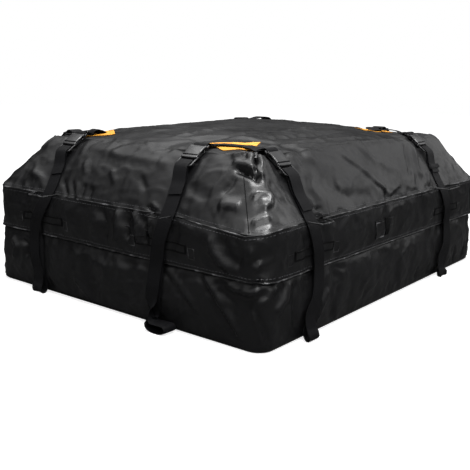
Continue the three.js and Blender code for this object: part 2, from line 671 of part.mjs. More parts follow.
// Strap: sewn at the band patch, slack down to the ground, looped, and back up outside to the buckle
function makeStrap(strap) {
  const { walk, frame } = strap;
  const sewnLift = PATCH_THICK + 2 * SEAM_GAP + WEB_THICK / 2 + SEWN_SLACK;
  const wallOut = (z) => skinPoint({ side: strap.side, s: strap.place }, levelOfZ(z), 0);
  const outOf = (z, lift) => {
    const p = wallOut(z);
    const side = SIDES[strap.side];
    return p.x * side.out[0] + p.y * side.out[1] + lift;
  };
  const flat = [];
  for (const z of [BAND_PATCH_Z, (BAND_PATCH_Z + FLAP_EDGE_Z) / 2, FLAP_EDGE_Z, ...STRAP_STOPS]) {
    flat.push([outOf(z, sewnLift), z]);
  }
  const ground = outOf(0, 0);
  const low = WEB_THICK / 2 + 2 * SEAM_GAP;
  const outer = sewnLift + STRAND_APART;
  flat.push([ground + sewnLift + 3, 20]);
  for (const [share, z] of LOOP_SHAPE) flat.push([ground + strap.loop * share, low + z]);
  flat.push([ground + outer + 3, 52]);
  for (const z of [OUTER_STOP_Z, FLAP_EDGE_Z, BAND_PATCH_Z + 6]) flat.push([outOf(z, outer), z]);
  const shoulderDrop = walk.reach[walk.edge] - walk.reach[SHOULDER_INDEX];
  const turnZ = SHOULDER_Z - TURN_BELOW_SHOULDER;
  flat.push([outOf(turnZ, outer - WEB_THICK), turnZ]);
  const clipEnd = strap.drop + BUCKLE_HALF;
  const slopeStart = shoulderDrop - SLOPE_START;
  const slopeEnd = Math.max(clipEnd + CLIP_APPROACH, CLIP_APPROACH_LEAST);
  const count = 4;
  for (let i = 0; i <= count; i += 1) {
    const drop = lerp(slopeStart, slopeEnd, i / count);
    const p = walk.lifted(drop, STRAP_CLEAR + WEB_THICK / 2);
    flat.push([p.x, p.y]);
  }
  const lockX = MOUTH_X + PRONG_CLEAR + CLIP_SHOULDER;
  const midBarX = lockX + LOCK_FRONT_SLOT;
  const lockPoints = [[BUCKLE_HALF + 1, -WRAP_LIFT], ...wrapPoints(midBarX, midBarX + BAR_SIZE, 1),
    [BUCKLE_HALF + 1, WRAP_LIFT]];
  for (const [x, z] of lockPoints) {
    const p = frame.place(x, z);
    flat.push([p.x, p.y]);
  }
  const tailLift = STRAP_CLEAR + WEB_THICK / 2 + WEB_THICK + 2.2;
  const tailSteps = 3;
  for (let i = 1; i <= tailSteps; i += 1) {
    const drop = clipEnd + TAIL_START + (strap.tail - TAIL_START) * i / tailSteps;
    const p = walk.lifted(Math.min(drop, shoulderDrop - TAIL_END), tailLift);
    flat.push([p.x, p.y]);
  }
  const leanAt = (z) => strap.lean * (1 - smooth(z, 60, EDGE_Z));
  const line = flat.map(([out, z]) => sidePoint(strap.side, out, strap.place + leanAt(z), z));
  const cross = sidePoint(strap.side, 0, 1, 0);
  return webbingBody(line, line.map(() => cross));
}

// Where a corner webbing turns and is sewn to its patch
function cornerApex(corner) {
  const signX = Math.sign(corner.x);
  const signY = Math.sign(corner.y);
  return {
    x: corner.x - signX * WEB_APEX_IN,
    y: signY * Math.min(Math.abs(corner.y) + WEB_APEX_OUT, EDGE_HALF_Y - WEB_APEX_FROM_EDGE),
  };
}

// Corner webbing: round one socket's bar, in over the patch, round its turn and out to the other socket
function makeCornerWebbing(corner) {
  const legOf = (name) => {
    const strap = straps.find((item) => item.name === name);
    const exitDrop = strap.drop - BUCKLE_HALF - WEB_EXIT;
    const exitLift = WRAP_LIFT + WEB_THICK + SEAM_GAP;
    const foldBack = strap.walk.lifted(exitDrop, exitLift + WEB_THICK + WEB_FOLD_CLEAR);
    const wrapped = wrapPoints(-BUCKLE_HALF + BAR_SIZE, -BUCKLE_HALF - WEB_PAST_BAR, -1).reverse();
    const flat = [foldBack, ...wrapped.map(([x, z]) => strap.frame.place(x, z)), strap.walk.lifted(exitDrop, exitLift)];
    const cross = sidePoint(strap.side, 0, 1, 0);
    return { line: flat.map((p) => sidePoint(strap.side, p.x, strap.place, p.y)), cross };
  };
  const long = legOf(corner.long);
  const short = legOf(corner.short);
  const lift = PATCH_THICK + 2 * SEAM_GAP + WEB_THICK / 2 + WEB_TOP_CLEAR;
  const apex = cornerApex(corner);
  const from = long.line[long.line.length - 1];
  const to = short.line[short.line.length - 1];
  const pull = { x: 2 * apex.x - (from.x + to.x) / 2, y: 2 * apex.y - (from.y + to.y) / 2 };
  const turn = new THREE.QuadraticBezierCurve(
    new THREE.Vector2(from.x, from.y), new THREE.Vector2(pull.x, pull.y), new THREE.Vector2(to.x, to.y),
  );
  const line = [...long.line];
  const crosses = long.line.map(() => long.cross);
  const start = turn.getTangent(0);
  const hand = Math.sign(-start.y * long.cross.x + start.x * long.cross.y);
  for (let i = 1; i < WEB_TURN_STEPS; i += 1) {
    const p = turn.getPoint(i / WEB_TURN_STEPS);
    const run = turn.getTangent(i / WEB_TURN_STEPS);
    line.push(new THREE.Vector3(p.x, p.y, crownHeight(p.x, p.y) + lift));
    crosses.push(new THREE.Vector3(-run.y, run.x, 0).multiplyScalar(hand));
  }
  const shortCross = short.cross.clone().multiplyScalar(Math.sign(short.cross.dot(crosses[crosses.length - 1])));
  line.push(...short.line.reverse());
  crosses.push(...short.line.map(() => shortCross));
  return webbingBody(line, crosses);
}

// Corner patch: under the webbing's turn, its long edge towards the middle of the top
function makeCornerPatch(corner) {
  const signX = Math.sign(corner.x);
  const signY = Math.sign(corner.y);
  const apex = cornerApex(corner);
  const outX = signX * Math.cos(CORNER_PATCH_TURN);
  const outY = signY * Math.sin(CORNER_PATCH_TURN);
  const steps = 4;
  const at = (i, k, lift) => {
    const out = lerp(-CORNER_PATCH_IN, CORNER_PATCH_OUT, i / steps);
    const wide = lerp(CORNER_PATCH_FAR, CORNER_PATCH_NEAR, i / steps) * (k / steps - 0.5);
    const x = apex.x + outX * out - outY * wide;
    const y = apex.y + outY * out + outX * wide;
    return new THREE.Vector3(x, y, crownHeight(x, y) + lift);
  };
  const points = [];
  for (const lift of [SEAM_GAP + PATCH_THICK, SEAM_GAP]) {
    for (let i = 0; i <= steps; i += 1) {
      for (let k = 0; k <= steps; k += 1) points.push(at(i, k, lift));
    }
  }
  const count = steps + 1;
  const faces = [];
  const quad = (a, b, c, d) => faces.push(a, b, c, a, c, d);
  const under = count * count;
  for (let i = 0; i < steps; i += 1) {
    for (let k = 0; k < steps; k += 1) {
      const a = i * count + k;
      quad(a, a + count, a + count + 1, a + 1);
      quad(under + a, under + a + 1, under + a + count + 1, under + a + count);
    }
    const [left, right] = [i * count, i * count + steps];
    quad(left, under + left, under + left + count, left + count);
    quad(right, right + count, under + right + count, under + right);
    quad(i, i + 1, under + i + 1, under + i);
    quad(steps * count + i, under + steps * count + i, under + steps * count + i + 1, steps * count + i + 1);
  }
  return indexedGeometry(points, faces);
}

// A flat piece sewn to the outside of the upper band, bent with the wall's own facets
function makeWallPatch(sideName, place, width, middleZ, height, lift) {
  const side = SIDES[sideName];
  const own = columns.filter((column) => column.side === sideName);
  const stops = own.map((column) => column.s).filter((s) => Math.abs(s - place) < width / 2 - 1);
  const places = [place - width / 2, ...stops, place + width / 2];
  const levels = [middleZ - height / 2, middleZ, middleZ + height / 2].map(levelOfZ);
  const wall = (s, level, depth) => {
    const right = own.findIndex((column) => column.s >= s);
    const low = own[Math.max(0, right - 1)];
    const high = own[Math.max(1, right)];
    const share = (s - low.s) / (high.s - low.s);
    return skinPoint(low, level, depth).lerp(skinPoint(high, level, depth), share);
  };
  const zSorted = levels.map((level) => places.map((s) => wall(s, level, -lift - PATCH_THICK)));
  const back = levels.map((level) => places.map((s) => wall(s, level, -lift)));
  const points = [...zSorted.flat(), ...back.flat()];
  const count = places.length;
  const faces = [];
  const at = (layer, row, i) => (layer * levels.length + row) * count + i;
  const quad = (a, b, c, d) => faces.push(a, b, c, a, c, d);
  for (let row = 0; row + 1 < levels.length; row += 1) {
    for (let i = 0; i + 1 < count; i += 1) {
      quad(at(0, row, i), at(0, row, i + 1), at(0, row + 1, i + 1), at(0, row + 1, i));
      quad(at(1, row, i), at(1, row + 1, i), at(1, row + 1, i + 1), at(1, row, i + 1));
    }
    quad(at(0, row, 0), at(0, row + 1, 0), at(1, row + 1, 0), at(1, row, 0));
    quad(at(0, row, count - 1), at(1, row, count - 1), at(1, row + 1, count - 1), at(0, row + 1, count - 1));
  }
  const top = levels.length - 1;
  for (let i = 0; i + 1 < count; i += 1) {
    quad(at(0, 0, i), at(1, 0, i), at(1, 0, i + 1), at(0, 0, i + 1));
    quad(at(0, top, i), at(0, top, i + 1), at(1, top, i + 1), at(1, top, i));
  }
  return indexedGeometry(points, faces);
}

// Zip slider: an outer and an inner plate joined by a post that passes between the chain's halves
function sliderMiddle(sign) {
  const zipLevel = levelOfZ(ZIP_Z);
  const out = WIDTH / 2 - outlineAt(zipLevel).inset - TAPE_DEPTH;
  return { x: TAB_PLACE + sign * SLIDER_SPACING / 2, y: -out };
}

function makeSlider(sign) {
  const { x, y } = sliderMiddle(sign);
  const half = SLIDER_LENGTH / 2;
  const wide = SLIDER_WIDTH / 2;
  const plateOutline = [[-half, -wide + 2], [-half + 3, -wide], [half, -wide + 1],
    [half, wide - 1], [-half + 3, wide], [-half, wide - 2]];
  const faceY = SLIDER_CLEAR + SLIDER_PLATE / 2;
  const backY = -TAPE_THICK - SLIDER_CLEAR - SLIDER_PLATE / 2;
  const plate = (level) => plateSolid(plateOutline, SLIDER_PLATE).translate([0, 0, level]);
  const postHalf = CHAIN_GAP / 2 - SLIDER_CLEAR;
  const post = boxSolid(-half + 1, -half + 6, -postHalf, postHalf, backY, faceY);
  const bailBase = boxSolid(-3, 3, -1.2, 1.2, faceY, faceY + 3.4);
  const bailHole = boxSolid(-1.6, 1.6, -2, 2, faceY + SLIDER_PLATE / 2 + 0.4, faceY + SLIDER_PLATE / 2 + 1.6);
  const solid = plate(faceY).add(plate(backY)).add(post).add(bailBase).subtract(bailHole);
  const geometry = fromSolid(solid);
  const turn = new THREE.Matrix4().makeBasis(
    new THREE.Vector3(-sign, 0, 0), new THREE.Vector3(0, 0, -sign), new THREE.Vector3(0, -1, 0),
  );
  turn.setPosition(x, y, ZIP_Z);
  return geometry.applyMatrix4(turn);
}

// Textile pull: a folded strip that hangs from the slider, between the lower band and the flap
function makePull(sign) {
  const { x, y } = sliderMiddle(sign);
  const front = y - SLIDER_CLEAR - SLIDER_PLATE - SEAM_GAP;
  const solid = boxSolid(x - PULL_WIDTH / 2, x + PULL_WIDTH / 2, front - PULL_THICK, front,
    ZIP_Z - 2 - PULL_LENGTH, ZIP_Z - 2);
  return fromSolid(solid);
}

addNode('base_panel', makeBasePanel(), tarpaulin);
addNode('lower_band', makeLowerBand(), tarpaulin);
addNode('upper_band', makeUpperBand(), tarpaulin);
addNode('top_cover', makeTopCover(), tarpaulin);
addNode('lower_zip_tape', makeLowerTape(), zipCoil);
addNode('upper_zip_tape', makeUpperTape(), zipCoil);
for (const [name, sign] of [['left', -1], ['right', 1]]) {
  addNode(`zip_slider_${name}`, makeSlider(sign), zipCoil);
  addNode(`zip_pull_${name}`, makePull(sign), webbing);
}
addNode('flap_tab',
  makeWallPatch('front', TAB_PLACE, TAB_WIDTH, FLAP_EDGE_Z + TAB_RISE, TAB_HEIGHT, SEAM_GAP), tarpaulin);
for (const corner of CORNERS) {
  addNode(`${corner.name}_corner_patch`, makeCornerPatch(corner), orangeCloth);
  addNode(`${corner.name}_corner_webbing`, makeCornerWebbing(corner), webbing);
}
for (const strap of straps) {
  addNode(`${strap.name}_buckle_socket`, placedOnBuckle(fromSolid(makeSocket()), strap), acetal);
  addNode(`${strap.name}_buckle_clip`, placedOnBuckle(fromSolid(makeClip()), strap), acetal);
  addNode(`${strap.name}_strap`, makeStrap(strap), webbing);
  addNode(`${strap.name}_band_patch`,
    makeWallPatch(strap.side, strap.place, BAND_PATCH_LENGTH, BAND_PATCH_Z, BAND_PATCH_HEIGHT, SEAM_GAP),
    webbing);
}

export default group;
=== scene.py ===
"""Looks of a soft roof cargo bag, filled, zipped shut and strapped down.

The bag is cut from PVC tarpaulin. Its cloth pieces are lofted sheets that are settled by a short
cloth simulation, then creased where the photograph shows a fold. Webbing follows the
routes of the solids. Lengths are in millimetres until a mesh is made, which is in metres.
"""

import logging
import math
from dataclasses import dataclass, field
from enum import Enum

import bpy
import numpy as np
from mathutils import Matrix, Vector, noise
from mathutils.bvhtree import BVHTree


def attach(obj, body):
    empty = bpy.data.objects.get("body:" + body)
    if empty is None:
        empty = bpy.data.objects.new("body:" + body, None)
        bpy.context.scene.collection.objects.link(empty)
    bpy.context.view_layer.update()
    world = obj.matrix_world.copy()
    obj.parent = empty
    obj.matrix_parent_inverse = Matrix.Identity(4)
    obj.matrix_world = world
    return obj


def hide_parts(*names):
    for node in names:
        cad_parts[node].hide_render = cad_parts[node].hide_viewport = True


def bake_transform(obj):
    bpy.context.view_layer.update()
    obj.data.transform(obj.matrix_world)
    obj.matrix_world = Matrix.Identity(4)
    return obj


LOG = logging.getLogger("cargo_bag")
MM = 0.001
PHOTO_SIDE = 470.0
BODY = "bag"

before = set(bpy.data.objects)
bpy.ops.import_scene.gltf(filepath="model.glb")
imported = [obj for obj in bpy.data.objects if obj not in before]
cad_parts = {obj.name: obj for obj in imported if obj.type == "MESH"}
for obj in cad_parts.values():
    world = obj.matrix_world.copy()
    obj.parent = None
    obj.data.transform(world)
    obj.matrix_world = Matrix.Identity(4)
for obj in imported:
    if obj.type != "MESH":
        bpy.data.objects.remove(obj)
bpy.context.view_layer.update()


def srgb(code: str) -> tuple[float, float, float, float]:
    """Turns a hex colour into Blender's linear colour.

    Args:
        code: six hex digits, with or without a leading hash.

    Returns:
        Linear red, green and blue, with alpha 1.
    """
    digits = code.lstrip("#")
    parts = [int(digits[i:i + 2], 16) / 255 for i in (0, 2, 4)]
    linear = [c / 12.92 if c <= 0.04045 else ((c + 0.055) / 1.055) ** 2.4 for c in parts]
    return (*linear, 1.0)


def smooth(value, low: float, high: float):
    """Smoothstep of a number or an array between two limits."""
    t = np.clip((np.asarray(value, dtype=float) - low) / (high - low), 0, 1)
    return t * t * (3 - 2 * t)


def bell(value, width: float):
    """Smooth bump of height 1 at zero that falls away over about `width`."""
    return np.exp(-((np.asarray(value, dtype=float) / width) ** 2))


class Side(Enum):
    """The four walls, in the order in which the ring of columns meets them."""

    FRONT = 0
    RIGHT = 1
    BACK = 2
    LEFT = 3

    @property
    def out(self) -> np.ndarray:
        """Outward direction on the ground."""
        return np.array([(0, -1), (1, 0), (0, 1), (-1, 0)][self.value], dtype=float)

    @property
    def along(self) -> np.ndarray:
        """Direction in which the place along the side grows."""
        return np.array([(1, 0), (0, 1), (-1, 0), (0, -1)][self.value], dtype=float)

    def plan(self, out: float, along: float) -> np.ndarray:
        """Point of the plan at a distance out from the middle and a place along the side."""
        return self.out * out + self.along * along


@dataclass(frozen=True)
class StrapLine:
    """One tie-down strap: where it stands, and how its strands stray sideways on the way down."""

    # How far above the top edge, and between which heights, the stray dies out
    ABOVE_EDGE = 20.0
    CALM = (300.0, 380.0)

    name: str
    side: Side
    place: float
    drop: float
    loop: float
    tail: float
    at_shoulder: float = 0.0
    at_flap: float = 0.0
    at_ground: float = 0.0
    inner_stray: float = 8.0
    side_loop: float = 0.0

    def sway(self, z: float, form: "BagForm") -> float:
        """Sideways shift of the outer strand at a height.

        Args:
            z: height above the ground.
            form: the bag's sizes.

        Returns:
            The shift along the side.
        """
        heights = (0.0, form.flap_edge_z, form.shoulder_z, form.edge_z + self.ABOVE_EDGE)
        return float(np.interp(z, heights, (self.at_ground, self.at_flap, self.at_shoulder, 0.0)))

    def stand(self, z: float, form: "BagForm") -> float:
        """Place of the outer strand on the slope, where its stray dies out towards the buckle."""
        return self.place + self.sway(z, form) * float(1 - smooth(z, *self.CALM))


LONG_DROP = 24.0
SHORT_DROP = 16.0
LEFT_PLACE = -378.0
RIGHT_PLACE = 308.0
FRONT_PLACE = -172.0
BACK_PLACE = 240.0
# Name, side, place, drop, ground loop, tail, stray of the outer strand at the shoulder, the flap
# and the ground, stray of the inner strand, and the loop beside the strap
STRAPS = (
    StrapLine("front_left", Side.FRONT, LEFT_PLACE, LONG_DROP, 24, 80, -7, 16, -24, 3),
    StrapLine("front_right", Side.FRONT, RIGHT_PLACE, LONG_DROP, 20, 60, -22, 10, -24, 20),
    StrapLine("right_front", Side.RIGHT, FRONT_PLACE, SHORT_DROP, 40, 60, 6, -8, 10, 5),
    StrapLine("right_back", Side.RIGHT, BACK_PLACE, SHORT_DROP, 22, 66, -8, 6, -6, -5),
    StrapLine("back_right", Side.BACK, -RIGHT_PLACE, LONG_DROP, 24, 60, 9, -6, 8, 6),
    StrapLine("back_left", Side.BACK, -LEFT_PLACE, LONG_DROP, 30, 60, -6, 9, -12, -5),
    StrapLine("left_back", Side.LEFT, -BACK_PLACE, SHORT_DROP, 20, 58, 19, -33, -5, 13),
    StrapLine("left_front", Side.LEFT, -FRONT_PLACE, SHORT_DROP, 40, 64, 14, -11, -18, 3, 66),
)
# Name, plan of the straps' crossing, and the straps of the long and the short side
PATCHES = (
    ("front_left", LEFT_PLACE, FRONT_PLACE, "front_left", "left_front"),
    ("front_right", RIGHT_PLACE, FRONT_PLACE, "front_right", "right_front"),
    ("back_right", RIGHT_PLACE, BACK_PLACE, "back_right", "right_back"),
    ("back_left", LEFT_PLACE, BACK_PLACE, "back_left", "left_back"),
)


@dataclass(frozen=True)
class BagForm:
    """Driving sizes of the filled bag, the same as those of the solids, in millimetres."""

    length: float = 1110.0
    width: float = 904.0
    shoulder_z: float = 254.0
    flap_edge_z: float = 148.0
    slope_rise: float = 132.0
    slope_inset: float = 103.0
    wall_lean: float = 7.0
    crown_rise: float = 30.0
    crown_sharpness: float = 0.75
    corner_radius: float = 45.0
    edge_radius: float = 24.0
    edge_roll: float = 4.0
    cloth: float = 2.0
    base_seam_z: float = 12.0
    lower_setback: float = 4.0
    zip_setback: float = 14.0
    lower_bulge: float = 9.0
    upper_bulge: float = 6.0
    slope_bulge: float = 9.0
    strap_valley: float = 6.0
    valley_floor: float = 34.0
    valley_reach: float = 62.0
    dart_depth: float = 13.0
    dart_puff: float = 6.0
    zip_above_flap: float = 44.0
    patch_rise: float = 42.0
    upper_tape_rise: float = 22.0
    tip_place: tuple[float, float] = (-548.0, -400.0)
    tip_dip: float = 13.0
    dip_run: float = 190.0
    dip_turn: float = 70.0
    dip_height: float = 45.0
    back_full: float = 10.0
    back_spread: float = 150.0

    @property
    def edge_z(self) -> float:
        """Height of the top edge before the crown."""
        return self.shoulder_z + self.slope_rise

    @property
    def zip_z(self) -> float:
        """Height of the zip's chain."""
        return self.flap_edge_z + self.zip_above_flap

    @property
    def patch_z(self) -> float:
        """Height of the middle of the patches that the straps are sewn to."""
        return self.flap_edge_z + self.patch_rise

    @property
    def edge_half(self) -> tuple[float, float]:
        """Half length and half width of the flat top."""
        inset = self.wall_lean + self.slope_inset
        return self.length / 2 - inset, self.width / 2 - inset

    @property
    def slope_turn(self) -> float:
        """How far the slopes face up from level, in radians."""
        return math.atan2(self.slope_inset, self.slope_rise)

    def half(self, side: Side) -> float:
        """Distance of a wall from the middle."""
        return self.width / 2 if side in (Side.FRONT, Side.BACK) else self.length / 2

    def reach(self, side: Side) -> float:
        """Half the length of a wall."""
        return self.length / 2 if side in (Side.FRONT, Side.BACK) else self.width / 2

    def places(self, side: Side) -> list[StrapLine]:
        """The straps that stand on a side."""
        return [strap for strap in STRAPS if strap.side is side]

    def level_of(self, z: float) -> float:
        """Level of a height on the wall: 0 at the base, 1 at the shoulder seam."""
        return z / self.shoulder_z

    def seam_dip(self, x, y, z):
        """How far the shoulder seam, and the cloth about it, hang at the near corner's dart."""
        x, y = np.asarray(x), np.asarray(y)
        past = np.hypot(x - self.tip_place[0], y - self.tip_place[1])
        along = np.clip(1 - (y - self.tip_place[1]) / self.dip_run, 0, 1) * (x < -self.length / 2 + 60)
        share = np.where(y > self.tip_place[1], along, np.clip(1 - past / self.dip_turn, 0, 1))
        return self.tip_dip * share * bell(np.asarray(z) - self.shoulder_z, self.dip_height)

    def back_lift(self, x, y, z):
        """How far the load lifts the top under the far corner's patch."""
        away = np.hypot(np.asarray(x) - RIGHT_PLACE, np.asarray(y) - BACK_PLACE)
        return self.back_full * bell(away, self.back_spread) * smooth(z, self.edge_z - 60, self.edge_z)

    def crown_height(self, x, y):
        """Height of the domed top over a point of the plan."""
        half_x, half_y = self.edge_half
        round_x = np.maximum(0, 1 - (np.asarray(x) / half_x) ** 2) ** self.crown_sharpness
        round_y = np.maximum(0, 1 - (np.asarray(y) / half_y) ** 2) ** self.crown_sharpness
        return self.edge_z - self.edge_roll + self.crown_rise * round_x * round_y

    def outline(self, level: float) -> tuple[float, float, float]:
        """Inset, height and corner radius of the outline at a level up to the top edge.

        Args:
            level: 0 at the base, 1 at the shoulder seam, 2 at the top edge.

        Returns:
            Inset, height and corner radius.
        """
        if level <= 1:
            return self.wall_lean * level, self.shoulder_z * level, self.corner_radius
        rise = min(level, 2.0) - 1
        roll = self.edge_roll * float(smooth(rise, 0.9, 1))
        radius = self.corner_radius + (self.edge_radius - self.corner_radius) * rise
        inset = self.wall_lean + self.slope_inset * rise + roll
        return inset, self.shoulder_z + self.slope_rise * rise - roll, radius

    def facing(self, level: float) -> float:
        """How far the cloth faces up from level ground at a level, in radians."""
        return self.slope_turn * float(smooth(level, 0.99, 1.01)) + (
            math.pi / 2 - self.slope_turn) * float(smooth(level, 1.94, 2.06))

    def bulge(self, level: float) -> float:
        """How far the filling pushes out the middle of a wall or of a slope at a level."""
        flap = self.level_of(self.flap_edge_z)
        if level < flap:
            return self.lower_bulge * math.sin(math.pi * level / flap)
        if level < 1:
            return self.upper_bulge * math.sin(math.pi * (level - flap) / (1 - flap))
        return self.slope_bulge * math.sin(math.pi * (level - 1)) if level < 2 else 0.0

    @staticmethod
    def valley(level: float) -> float:
        """Share of a strap's valley at a level: half of it on the wall, all at the top edge."""
        return float(0.5 * smooth(level, 0.2, 1) + 0.5 * smooth(level, 1.5, 2))


@dataclass
class Ring:
    """Columns that run up the cloth all the way round, close enough for its folds."""

    # Width of a dart and of the puffs beside it, as shares of the corner's turn
    DART_WIDE = 0.11
    PUFF_WIDE = 0.1
    # Levels between which a dart deepens, and between which all swelling ends on the top
    DART_LEVELS = (1.62, 1.9)
    TOP_LEVELS = (2.0, 2.07)

    form: BagForm
    pitch: float = 11.0
    corner_steps: int = 8
    side: np.ndarray = field(init=False)
    s: np.ndarray = field(init=False)
    share: np.ndarray = field(init=False)
    out: np.ndarray = field(init=False)

    def __post_init__(self) -> None:
        """Lays out the columns."""
        side, place, share, out = [], [], [], []
        self.counts = []
        for wall in Side:
            straight = self.form.reach(wall) - self.form.corner_radius
            count = 2 * round(straight / self.pitch)
            self.counts.append(count + 1)
            for k in range(count + 1):
                side.append(wall.value)
                place.append(-straight + 2 * straight * k / count)
                share.append(0.0)
                out.append(wall.out)
            for k in range(1, self.corner_steps):
                turn = k / self.corner_steps * math.pi / 2
                side.append(wall.value)
                place.append(straight)
                share.append(k / self.corner_steps)
                out.append(wall.out * math.cos(turn) + wall.along * math.sin(turn))
        self.side = np.array(side)
        self.s = np.array(place)
        self.share = np.array(share)
        self.out = np.array(out)
        self.size = len(side)

    def start(self, wall: Side) -> int:
        """Index of the first column of a wall."""
        return sum(self.counts[:wall.value]) + wall.value * (self.corner_steps - 1)

    def strap_shade(self, level: float) -> np.ndarray:
        """How close each column is to a strap at a level: 1 under it, 0 away from it.

        Args:
            level: 0 at the base, 1 at the shoulder seam, 2 at the top edge.

        Returns:
            One share for each column.
        """
        form = self.form
        z = form.outline(min(level, 2.0))[1]
        shade = np.zeros(self.size)
        for strap in STRAPS:
            own = (self.side == strap.side.value) & (self.share == 0)
            away = np.abs(self.s - strap.place - strap.sway(z, form))
            shade = np.maximum(shade, own * (1 - smooth(away, form.valley_floor, form.valley_reach)))
        return shade

    def swell(self, level: float) -> np.ndarray:
        """How far the filling pushes the cloth out, or a strap or a dart draws it in.

        Args:
            level: 0 at the base, 1 at the shoulder seam, 2 at the top edge.

        Returns:
            One distance for each column.
        """
        form = self.form
        reach = np.array([form.reach(Side(v)) - form.corner_radius for v in self.side])
        fullness = 1 - (self.s / reach) ** 2
        valley = form.valley(level) - float(smooth(level, *self.TOP_LEVELS))
        straight = form.bulge(level) * fullness - form.strap_valley * self.strap_shade(level) * valley
        puffs = bell(self.share - 0.25, self.PUFF_WIDE) + bell(self.share - 0.75, self.PUFF_WIDE)
        dart = -form.dart_depth * bell(self.share - 0.5, self.DART_WIDE) + form.dart_puff * puffs
        dart = dart * float(smooth(level, *self.DART_LEVELS) * (1 - smooth(level, *self.TOP_LEVELS)))
        return np.where(self.share == 0, straight, dart)

    def row(self, level: float, depth: float = 0.0, follow: float = 1.0) -> tuple[np.ndarray, np.ndarray]:
        """Points and normals of the skin all the way round at a level.

        Args:
            level: 0 at the base, 1 at the shoulder seam, 2 at the top edge.
            depth: how far under the outer face the points lie.
            follow: share of the swell that they take.

        Returns:
            Points and outward normals, one row for each column.
        """
        form = self.form
        inset, z, radius = form.outline(level)
        turn = form.facing(level)
        points = np.zeros((self.size, 3))
        for wall in Side:
            own = (self.side == wall.value) & (self.share == 0)
            s = self.shifted(wall, self.s[own], inset, radius)
            points[own, :2] = wall.out * (form.half(wall) - inset) + s[:, None] * wall.along
            arc = (self.side == wall.value) & (self.share > 0)
            corner = wall.out + wall.along
            middle = np.array([form.length / 2, form.width / 2]) - inset - radius
            points[arc, :2] = corner * middle + self.out[arc] * radius
        points[:, 2] = z
        normals = np.column_stack([self.out * math.cos(turn), np.full(self.size, math.sin(turn))])
        swell = self.swell(level) * follow - depth
        return points + normals * swell[:, None], normals

    def shifted(self, wall: Side, s: np.ndarray, inset: float, radius: float) -> np.ndarray:
        """Places along a side, drawn in past the straps where the outline gets shorter.

        Args:
            wall: the side.
            s: places at the base.
            inset: how far the outline has come in.
            radius: its corner radius.

        Returns:
            The places at this level.
        """
        form = self.form
        here = form.reach(wall) - inset - radius
        base = form.reach(wall) - form.corner_radius
        held = max(abs(strap.place) for strap in form.places(wall)) + form.valley_floor
        if base <= held:
            return np.sign(s) * np.minimum(np.abs(s), here)
        past = (np.abs(s) - held) / (base - held)
        return np.where(np.abs(s) <= held, s, np.sign(s) * (held + (here - held) * past))


@dataclass(frozen=True)
class PhotoCamera:
    """The camera that took the photograph, found from the bag's edges, in the bag's own frame."""

    place: tuple[float, float, float] = (-1652.2, -1245.6, 551.8)
    yaw: float = 38.39
    pitch: float = -12.51
    roll: float = 1.05
    focal_px: float = 725.2
    sensor: float = 36.0

    def axes(self) -> tuple[Vector, Vector, Vector]:
        """The camera's right, up and forward directions."""
        yaw, pitch, roll = (math.radians(v) for v in (self.yaw, self.pitch, self.roll))
        level = math.cos(pitch)
        ahead = Vector((level * math.cos(yaw), level * math.sin(yaw), math.sin(pitch)))
        right = ahead.cross(Vector((0, 0, 1))).normalized()
        up = right.cross(ahead)
        turned = right * math.cos(roll) + up * math.sin(roll)
        return turned, up * math.cos(roll) - right * math.sin(roll), ahead

    def ray(self, px: tuple[float, float]) -> Vector:
        """Direction through a pixel of the photograph."""
        right, up, ahead = self.axes()
        middle = PHOTO_SIDE / 2
        return (ahead * self.focal_px + right * (px[0] - middle) + up * (middle - px[1])).normalized()

    def build(self) -> bpy.types.Object:
        """Makes the scene's camera.

        Returns:
            The camera object.
        """
        right, up, ahead = self.axes()
        data = bpy.data.cameras.new("photo_camera")
        data.sensor_fit = "HORIZONTAL"
        data.sensor_width = self.sensor
        data.lens = self.focal_px / PHOTO_SIDE * self.sensor
        data.clip_end = 60
        camera = bpy.data.objects.new("photo_camera", data)
        turn = Matrix((right, up, -ahead)).transposed().to_4x4()
        camera.matrix_world = Matrix.Translation(Vector(self.place) * MM) @ turn
        bpy.context.scene.collection.objects.link(camera)
        bpy.context.scene.camera = camera
        return camera


def deselect() -> None:
    """Leaves object mode with nothing selected."""
    if bpy.context.object and bpy.context.object.mode != "OBJECT":
        bpy.ops.object.mode_set(mode="OBJECT")
    bpy.ops.object.select_all(action="DESELECT")


def pick(piece: bpy.types.Object) -> None:
    """Makes one piece the only selected and active one."""
    deselect()
    piece.select_set(True)
    bpy.context.view_layer.objects.active = piece


def apply_all(piece: bpy.types.Object) -> None:
    """Applies every modifier of a piece in order."""
    pick(piece)
    for modifier in list(piece.modifiers):
        bpy.ops.object.modifier_apply(modifier=modifier.name)


def make_piece(name: str, points: np.ndarray, faces: list, uv: np.ndarray | None = None) -> bpy.types.Object:
    """Makes a mesh object at the origin from points in millimetres.

    Args:
        name: the piece's name.
        points: one row for each vertex.
        faces: lists of vertex numbers.
        uv: millimetres along and across the cloth for each vertex, or nothing.

    Returns:
        The object.
    """
    mesh = bpy.data.meshes.new(name)
    mesh.from_pydata([tuple(p) for p in np.asarray(points) * MM], [], faces)
    if uv is not None:
        layer = mesh.uv_layers.new(name="cloth_mm")
        numbers = np.zeros(len(mesh.loops), dtype=np.int32)
        mesh.loops.foreach_get("vertex_index", numbers)
        layer.data.foreach_set("uv", (np.asarray(uv)[numbers] * MM).ravel())
    mesh.validate()
    mesh.update()
    piece = bpy.data.objects.new(name, mesh)
    bpy.context.scene.collection.objects.link(piece)
    return piece


def points_of(piece: bpy.types.Object) -> np.ndarray:
    """Vertices of a piece in millimetres."""
    flat = np.zeros(len(piece.data.vertices) * 3)
    piece.data.vertices.foreach_get("co", flat)
    return flat.reshape(-1, 3) / MM


